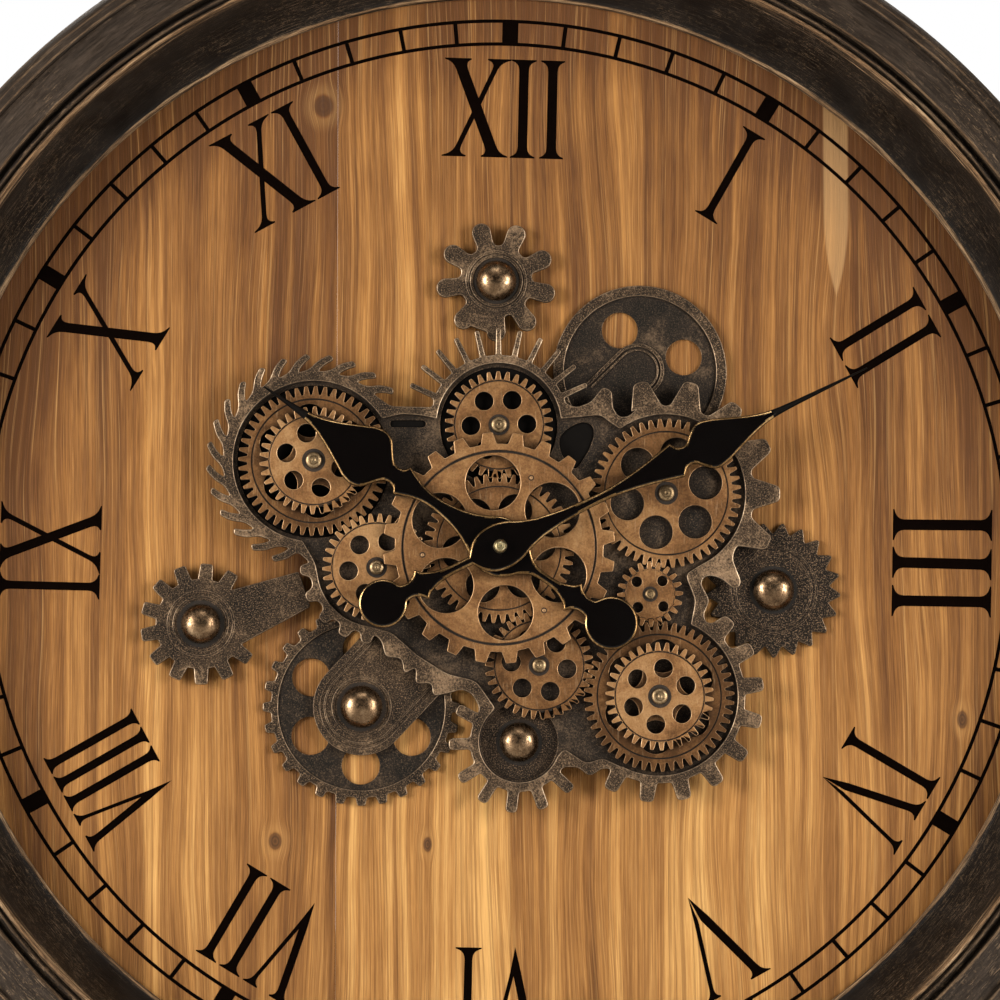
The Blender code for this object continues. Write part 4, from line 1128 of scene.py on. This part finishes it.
def dress(piece, face, rings, seat):
    """Raised rings, as (outer radius, inner radius, foot, top) from the face, and the seat under a dome."""
    at = piece.centre
    for outer, inner, foot, top in rings:
        piece.plate(circle(outer, at), [circle(inner, at)], (face + foot, face + top), "bronze", 0.2)
    radius, foot, top = seat
    piece.plate(circle(radius, at), [], (face + foot, face + top), "grime_and_shade", 0.0)


def flat_wheel(node, at, tone, outline, bevel, rings, seat):
    """A wheel cut to one outline, and what dresses its face."""
    low, high = levels_of(node)
    piece = Piece(f"{node}_cast", FIXED, at, tone)
    piece.plate(moved(outline, at), [], (low, high), "bronze", bevel)
    dress(piece, high, rings, seat)
    piece.done(node)


def top_knob_wheel():
    """Nine round-ended knobs round a plain hub, two of them webbed together, and a turned dome seat."""
    outline = []
    for angle in (67.0, 107.0, 148.0, 188.0, 230.0, 270.0, 307.0, 346.5, 385.5):
        if angle != 270.0:
            outline.append(polar(16.4, angle - 13.0))
        outline += arc(polar(22.9, angle), 4.3, angle - 88.0, angle + 88.0, 12)
        if angle != 230.0:
            outline.append(polar(16.4, angle + 13.0))
    outline = rounded(outline, 2.0)
    rings = [(13.9, 12.6, -0.4, 0.45), (11.9, 10.6, -0.4, 0.7)]
    flat_wheel("top_knob_wheel", axis_of("top_dome"), -0.02, outline, 0.4, rings, (10.4, -0.4, 0.1))


def left_arm_wheel():
    """A blunt-toothed wheel with a flat arm reaching right, under the lower left ring."""
    outline = toothed_arc(CENTRE, [58.0 + 26.6 * index for index in range(11)], 20.2, 27.0, 6.6, 5.6, 2)
    reach = polar(49.0, 18.7)
    side = polar(8.3, 108.7)
    outline += [shifted(reach, -side[0], -side[1]), shifted(reach, *side)]
    outline = rounded(outline, 1.2)
    rings = [(15.2, 14.0, -0.4, 0.35), (12.6, 11.4, -0.4, 0.35)]
    flat_wheel("left_arm_wheel", axis_of("left_dome"), -0.04, outline, 0.4, rings, (10.6, -0.4, 0.08))


def right_saw_wheel():
    """Twenty-one teeth raked clockwise round a plain face with two turned lines."""
    outline = []
    for index in range(21):
        angle = 80.6 + 360.0 / 21 * index
        outline += [polar(30.4, angle), polar(30.2, angle + 2.4), polar(25.4, angle + 9.6)]
    outline = rounded(outline, 0.8)
    rings = [(19.9, 18.9, -0.3, 0.25), (17.6, 16.6, -0.3, 0.25)]
    flat_wheel("right_saw_wheel", axis_of("right_dome"), -0.16, outline, 0.35, rings, (10.8, -0.4, 0.08))


def bottom_disc():
    """A disc with a finger reaching right."""
    outline = arc(CENTRE, 20.8, 14.0, 352.0, 70) + [(43.0, -6.0), (43.0, -2.0), (28.0, 1.5)]
    flat_wheel("bottom_disc", BOTTOM, -0.07, rounded(outline, 2.0), 0.35, [], (10.4, -0.4, 0.08))


def lower_left_wheel(node):
    """A six-holed wheel with small teeth and a sunk web."""
    at = axis_of("lower_left_dome")
    low, high = levels_of(node)
    teeth = rounded(toothed_arc(CENTRE, [12.86 * index for index in range(28)], 40.5, 44.1, 5.2, 3.6, 1), 0.9)
    piece = Piece(f"{node}_cast", FIXED, at, -0.05)
    piece.plate(moved(teeth, at), [circle(37.2, at)], (low, high), "bronze", 0.4)
    piece.plate(circle(38.0, at), hole_ring(6, 26.1, 8.5, 29.5, at), (low, high - 0.9), "web")
    piece.done(node)


def lower_left_strap(node):
    """A round end and two parallel sides that run to the upper right, with a raised rim."""
    at = axis_of("lower_left_dome")
    low, high = levels_of(node)
    floor = high - 0.5
    piece = Piece(f"{node}_cast", FIXED, at, -0.02)
    side = arc(CENTRE, 21.6, 137.0, 317.0, 40)
    outline = [*side, shifted(side[-1], 22.0, 22.0 * 1.07), shifted(side[0], 22.0, 22.0 * 1.07)]
    piece.plate(moved(outline, at), [], (low, floor), "bronze")
    for outer, inner in ((21.6, 18.4), (16.9, 15.9)):
        there = arc(CENTRE, outer, 137.0, 317.0, 40)
        back = arc(CENTRE, inner, 317.0, 137.0, 40)
        band = []
        for side in (there, back):
            band += [shifted(side[0], 20.0, 21.4), *side, shifted(side[-1], 20.0, 21.4)]
        piece.plate(moved(band, at), [], (floor - 0.3, high), "bronze", 0.22)
    dress(piece, floor, [(13.4, 12.0, -0.3, high - floor)], (11.0, -0.3, 0.1))
    piece.done(node)


def upper_right_wheel(node):
    """A plain wheel with a raised rim and a small arched strap cast on its web."""
    low, high = levels_of(node)
    at = axis_of(node)
    piece = Piece(f"{node}_cast", FIXED, at, -0.04)
    at = shifted(at, 0.0, 0.9)
    piece.plate(circle(39.2, at), [circle(34.4, at)], (low, high), "bronze", 0.4)
    holes = [circle(8.1, polar(21.0, angle, at), 48) for angle in (115.5, 19.0)]
    piece.plate(circle(35.0, at), holes, (low, high - 1.3), "web", 0.25)
    for outer, inner in ((12.1, 10.6), (9.6, 8.8)):
        there = arc(CENTRE, outer, -60.0, 138.0, 40)
        back = arc(CENTRE, inner, 138.0, -60.0, 40)
        band = [*there, shifted(there[-1], -14.0, -14.0), shifted(back[0], -14.0, -14.0), *back]
        piece.plate(moved(band, shifted(at, -1.2, 0.8)), [], (low, high - 0.5), "bronze", 0.2)
    piece.done(node)


def board_wheels():
    top_knob_wheel()
    left_arm_wheel()
    lower_left_wheel("lower_left_wheel")
    lower_left_strap("lower_left_strap")
    right_saw_wheel()
    upper_right_wheel("upper_right_wheel")
    bottom_disc()
    for node in ("top_dome", "left_dome", "lower_left_dome", "right_dome", "bottom_dome"):
        dome(node)


# ---- hands

# Half widths along each hand, from the tail to the tip, in runs that meet at sharp corners
MINUTE_RUNS = (
    ((-47.8, 4.0), (-45.0, 3.5), (-42.6, 4.0), (-40.4, 5.4), (-38.6, 7.4)),
    ((-38.6, 7.4), (-36.2, 5.0), (-31.0, 3.0), (-24.0, 2.1), (-14.2, 2.1)),
    ((-14.2, 2.1), (-12.4, 4.6), (-9.6, 7.6), (-5.0, 9.8), (1.0, 10.4), (7.0, 9.2), (13.0, 6.6), (20.0, 4.5)),
    ((20.0, 4.5), (30.0, 3.1), (42.0, 2.3), (52.0, 2.2), (62.0, 3.0), (74.0, 5.0), (88.0, 8.2)),
    ((88.0, 8.2), (90.2, 5.6), (92.6, 4.5), (95.2, 5.2), (98.0, 8.0), (101.0, 10.4), (104.5, 11.2),
     (110.0, 10.0)),
    ((110.0, 10.0), (118.0, 6.9), (126.0, 4.0), (134.0, 2.1), (144.0, 1.3), (160.0, 0.9), (183.0, 0.35)),
)
HOUR_RUNS = (
    ((-49.0, 4.2), (-46.0, 3.7), (-43.4, 4.2), (-41.2, 5.4), (-39.4, 7.4)),
    ((-39.4, 7.4), (-37.0, 4.8), (-32.0, 2.6), (-26.0, 1.9), (-19.0, 2.4), (-14.0, 5.2), (-11.0, 8.4)),
    ((-11.0, 8.4), (-6.0, 12.0), (0.0, 13.2), (5.0, 12.6), (8.6, 11.0)),
    ((8.6, 11.0), (14.0, 7.8), (21.0, 5.0), (30.0, 3.2), (38.0, 2.8), (45.0, 4.2), (52.6, 7.2)),
    ((52.6, 7.2), (54.4, 4.8), (57.2, 4.0), (60.0, 5.0), (63.0, 8.4), (66.4, 12.6), (71.0, 14.2),
     (76.0, 13.2)),
    ((76.0, 13.2), (83.0, 9.6), (90.0, 6.2), (97.0, 3.4), (104.0, 2.0), (114.0, 1.1), (127.0, 0.35)),
)
# The rounded rim of a hand: how far in from its outline, and how far down from its face
HAND_RIM = ((0.0, 0.95), (0.12, 0.55), (0.45, 0.27), (0.95, 0.10), (1.6, 0.0), (1.75, 0.0))


def hand_outline(runs, bulb_radius, inset):
    """A hand's edges from its half widths, and the round bulb that ends its tail, drawn in by the inset."""
    edge = []
    for run in runs:
        edge += flowing(run)[: -1 if run is not runs[-1] else None]
    start, neck = edge[0]
    middle = start - (bulb_radius**2 - neck**2) ** 0.5
    edge = [(x, max(half - inset, half * 0.4)) for x, half in edge]
    radius = bulb_radius - inset
    away = degrees(asin(edge[0][1] / radius))
    bulb = arc((middle, 0.0), radius, away, 360.0 - away, 48)
    return edge[::-1] + bulb[1:-1] + [(x, -y) for x, y in edge]


def lofted(loops):
    """A closed form over outlines of as many points each, given with their heights from the lowest up."""
    shape = bmesh.new()
    rings = [[shape.verts.new((x, y, height)) for x, y in outline] for outline, height in loops]
    caps = [shape.faces.new(rings[0][::-1]), shape.faces.new(rings[-1])]
    for lower, upper in zip(rings, rings[1:]):
        for index in range(len(lower)):
            shape.faces.new((lower[index - 1], lower[index], upper[index], upper[index - 1]))
    shape.normal_update()
    bmesh.ops.triangulate(shape, faces=caps)
    return mesh_from(shape, "loft")


def hand(node, body, runs, bulb_radius, angle, bore, plain_beyond):
    """A lacquered hand with a gilt rim, drilled at its centre. Its tip beyond a radius is plain black."""
    low, high = levels_of(node)
    rim = [(0.2, low), (0.0, low + 0.15)]
    rim += [(inset, high - drop) for inset, drop in HAND_RIM if high - drop > low + 0.2]
    loops = [(turned_by(hand_outline(runs, bulb_radius, inset), angle), height) for inset, height in rim]
    drill = [(0.0, low - 1.0), (bore, low - 1.0), (bore, high + 1.0), (0.0, high + 1.0)]
    piece = Piece(f"{node}_lacquered", body)
    piece.add(less(lofted(loops), turned_mesh(drill, 32, False)), "hand", TRIMS["hand"])
    for face in piece.shape.faces:
        if face.calc_center_median().xy.length > plain_beyond:
            face.material_index = piece.slot("backing")
    piece.done(node, crease=50.0)


def hand_cap():
    low, high = levels_of("hand_cap_nut")
    profile = [(0.0, high - 0.5), (0.9, high - 0.4), (1.3, high - 0.05), (1.8, high), (2.5, high - 0.5)]
    profile += [(3.0, high - 1.5), (3.1, low + 0.6), (2.8, low), (0.0, low)]
    Piece("hand_cap_nut_polished", "minute").turn(profile, "nut", steps=40).done("hand_cap_nut")


def hands():
    hand("hour_hand", "hour", HOUR_RUNS, 11.9, HOUR_ANGLE, 2.7, 104.0)
    hand("minute_hand", "minute", MINUTE_RUNS, 10.8, MINUTE_ANGLE, 1.5, 136.0)
    hand_cap()


# ---- pieces that keep their CAD shape

KEPT = {
    "steel": "hanger_plate board_clip_1 board_clip_2 board_clip_3 plate_pillar_1 plate_pillar_2"
    " plate_pillar_3 centre_bushing bushing_nut minute_arbor gear_motor",
    "dome": "top_arbor",
    "brass_edge": "motor_pinion",
    "black_plastic": "movement_case movement_back motor_case motor_cover setting_knob slide_switch",
    "nylon": "hour_pipe motion_wheel",
    "wrap": "movement_cell drive_cell",
    "green": "stepper_board",
}


def finish_kept_nodes():
    for finish, nodes in KEPT.items():
        for node in nodes.split():
            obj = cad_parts[node]
            obj.data.materials.clear()
            obj.data.materials.append(FINISHES[finish])


# ---- staging

TARGET = Vector((0.0005, FACE_Y - 0.010, 0.0217))
ORIGIN = Vector((0.0, 0.0, 0.0))
SENSOR_WIDTH = 36.0
VIEW_DISTANCE = 1.9
VIEW_WIDTH = 0.4475


def aimed(name, data, azimuth, elevation, distance, target=ORIGIN):
    """A camera or light that faces the target from a direction and a distance."""
    side = radians(azimuth)
    up = radians(elevation)
    away = Vector((sin(side) * cos(up), -cos(side) * cos(up), sin(up)))
    obj = put(name, data)
    obj.location = target + away * distance
    obj.rotation_euler = (-away).to_track_quat("-Z", "Y").to_euler()
    return obj


def camera():
    """A long lens in front of the dial, a little low and to the left."""
    data = bpy.data.cameras.new("camera")
    data.sensor_width = SENSOR_WIDTH
    data.lens = SENSOR_WIDTH * VIEW_DISTANCE / VIEW_WIDTH
    bpy.context.scene.camera = aimed("camera", data, -2.2, -4.5, VIEW_DISTANCE, TARGET)


def soft_light(name, azimuth, elevation, distance, size, power):
    """A warm rectangular light aimed at the middle of the clock."""
    data = bpy.data.lights.new(name, "AREA")
    data.shape = "RECTANGLE"
    data.size, data.size_y = size
    data.energy = power
    data.color = (1.0, 0.95, 0.88)
    aimed(name, data, azimuth, elevation, distance)


def studio():
    """Four soft lights, and a world that is white to the camera and dim to everything else."""
    soft_light("left_softbox", -54.0, 8.0, 1.7, (0.5, 0.8), 38.0)
    soft_light("right_softbox", 50.0, 6.0, 1.7, (0.5, 0.8), 29.0)
    soft_light("overhead_softbox", 0.0, 50.0, 1.8, (1.0, 0.5), 6.0)
    soft_light("rear_softbox", 180.0, 42.0, 2.2, (1.6, 0.8), 26.0)
    world = bpy.data.worlds.new("studio")
    bpy.context.scene.world = world
    world.use_nodes = True
    background = world.node_tree.nodes["Background"]
    background.inputs["Color"].default_value = (1.0, 1.0, 1.0, 1.0)
    seen = world.node_tree.nodes.new("ShaderNodeLightPath").outputs["Is Camera Ray"]
    strength = world.node_tree.nodes.new("ShaderNodeMapRange")
    strength.inputs["To Min"].default_value = 0.08
    strength.inputs["To Max"].default_value = 1.0
    world.node_tree.links.new(seen, strength.inputs["Value"])
    world.node_tree.links.new(strength.outputs[0], background.inputs["Strength"])
    bpy.context.scene.view_settings.view_transform = "Standard"


def floor():
    low = CAD_BOX[0][2]
    half = 6.0
    corners = [(-half, -half, low), (half, -half, low), (half, half, low), (-half, half, low)]
    mesh = bpy.data.meshes.new("floor")
    mesh.from_pydata(corners, [], [(0, 1, 2, 3)])
    mesh.materials.append(painted("pale_floor", (0.82, 0.81, 0.79), 0.6, 60.0, 0.05))
    put("floor", mesh)


camera()
studio()
floor()
frame_moulding()
dial_planks()
dial_print()
carrier()
back_plate()
top_arbor_head()
gears()
posts()
board_wheels()
hands()
finish_kept_nodes()
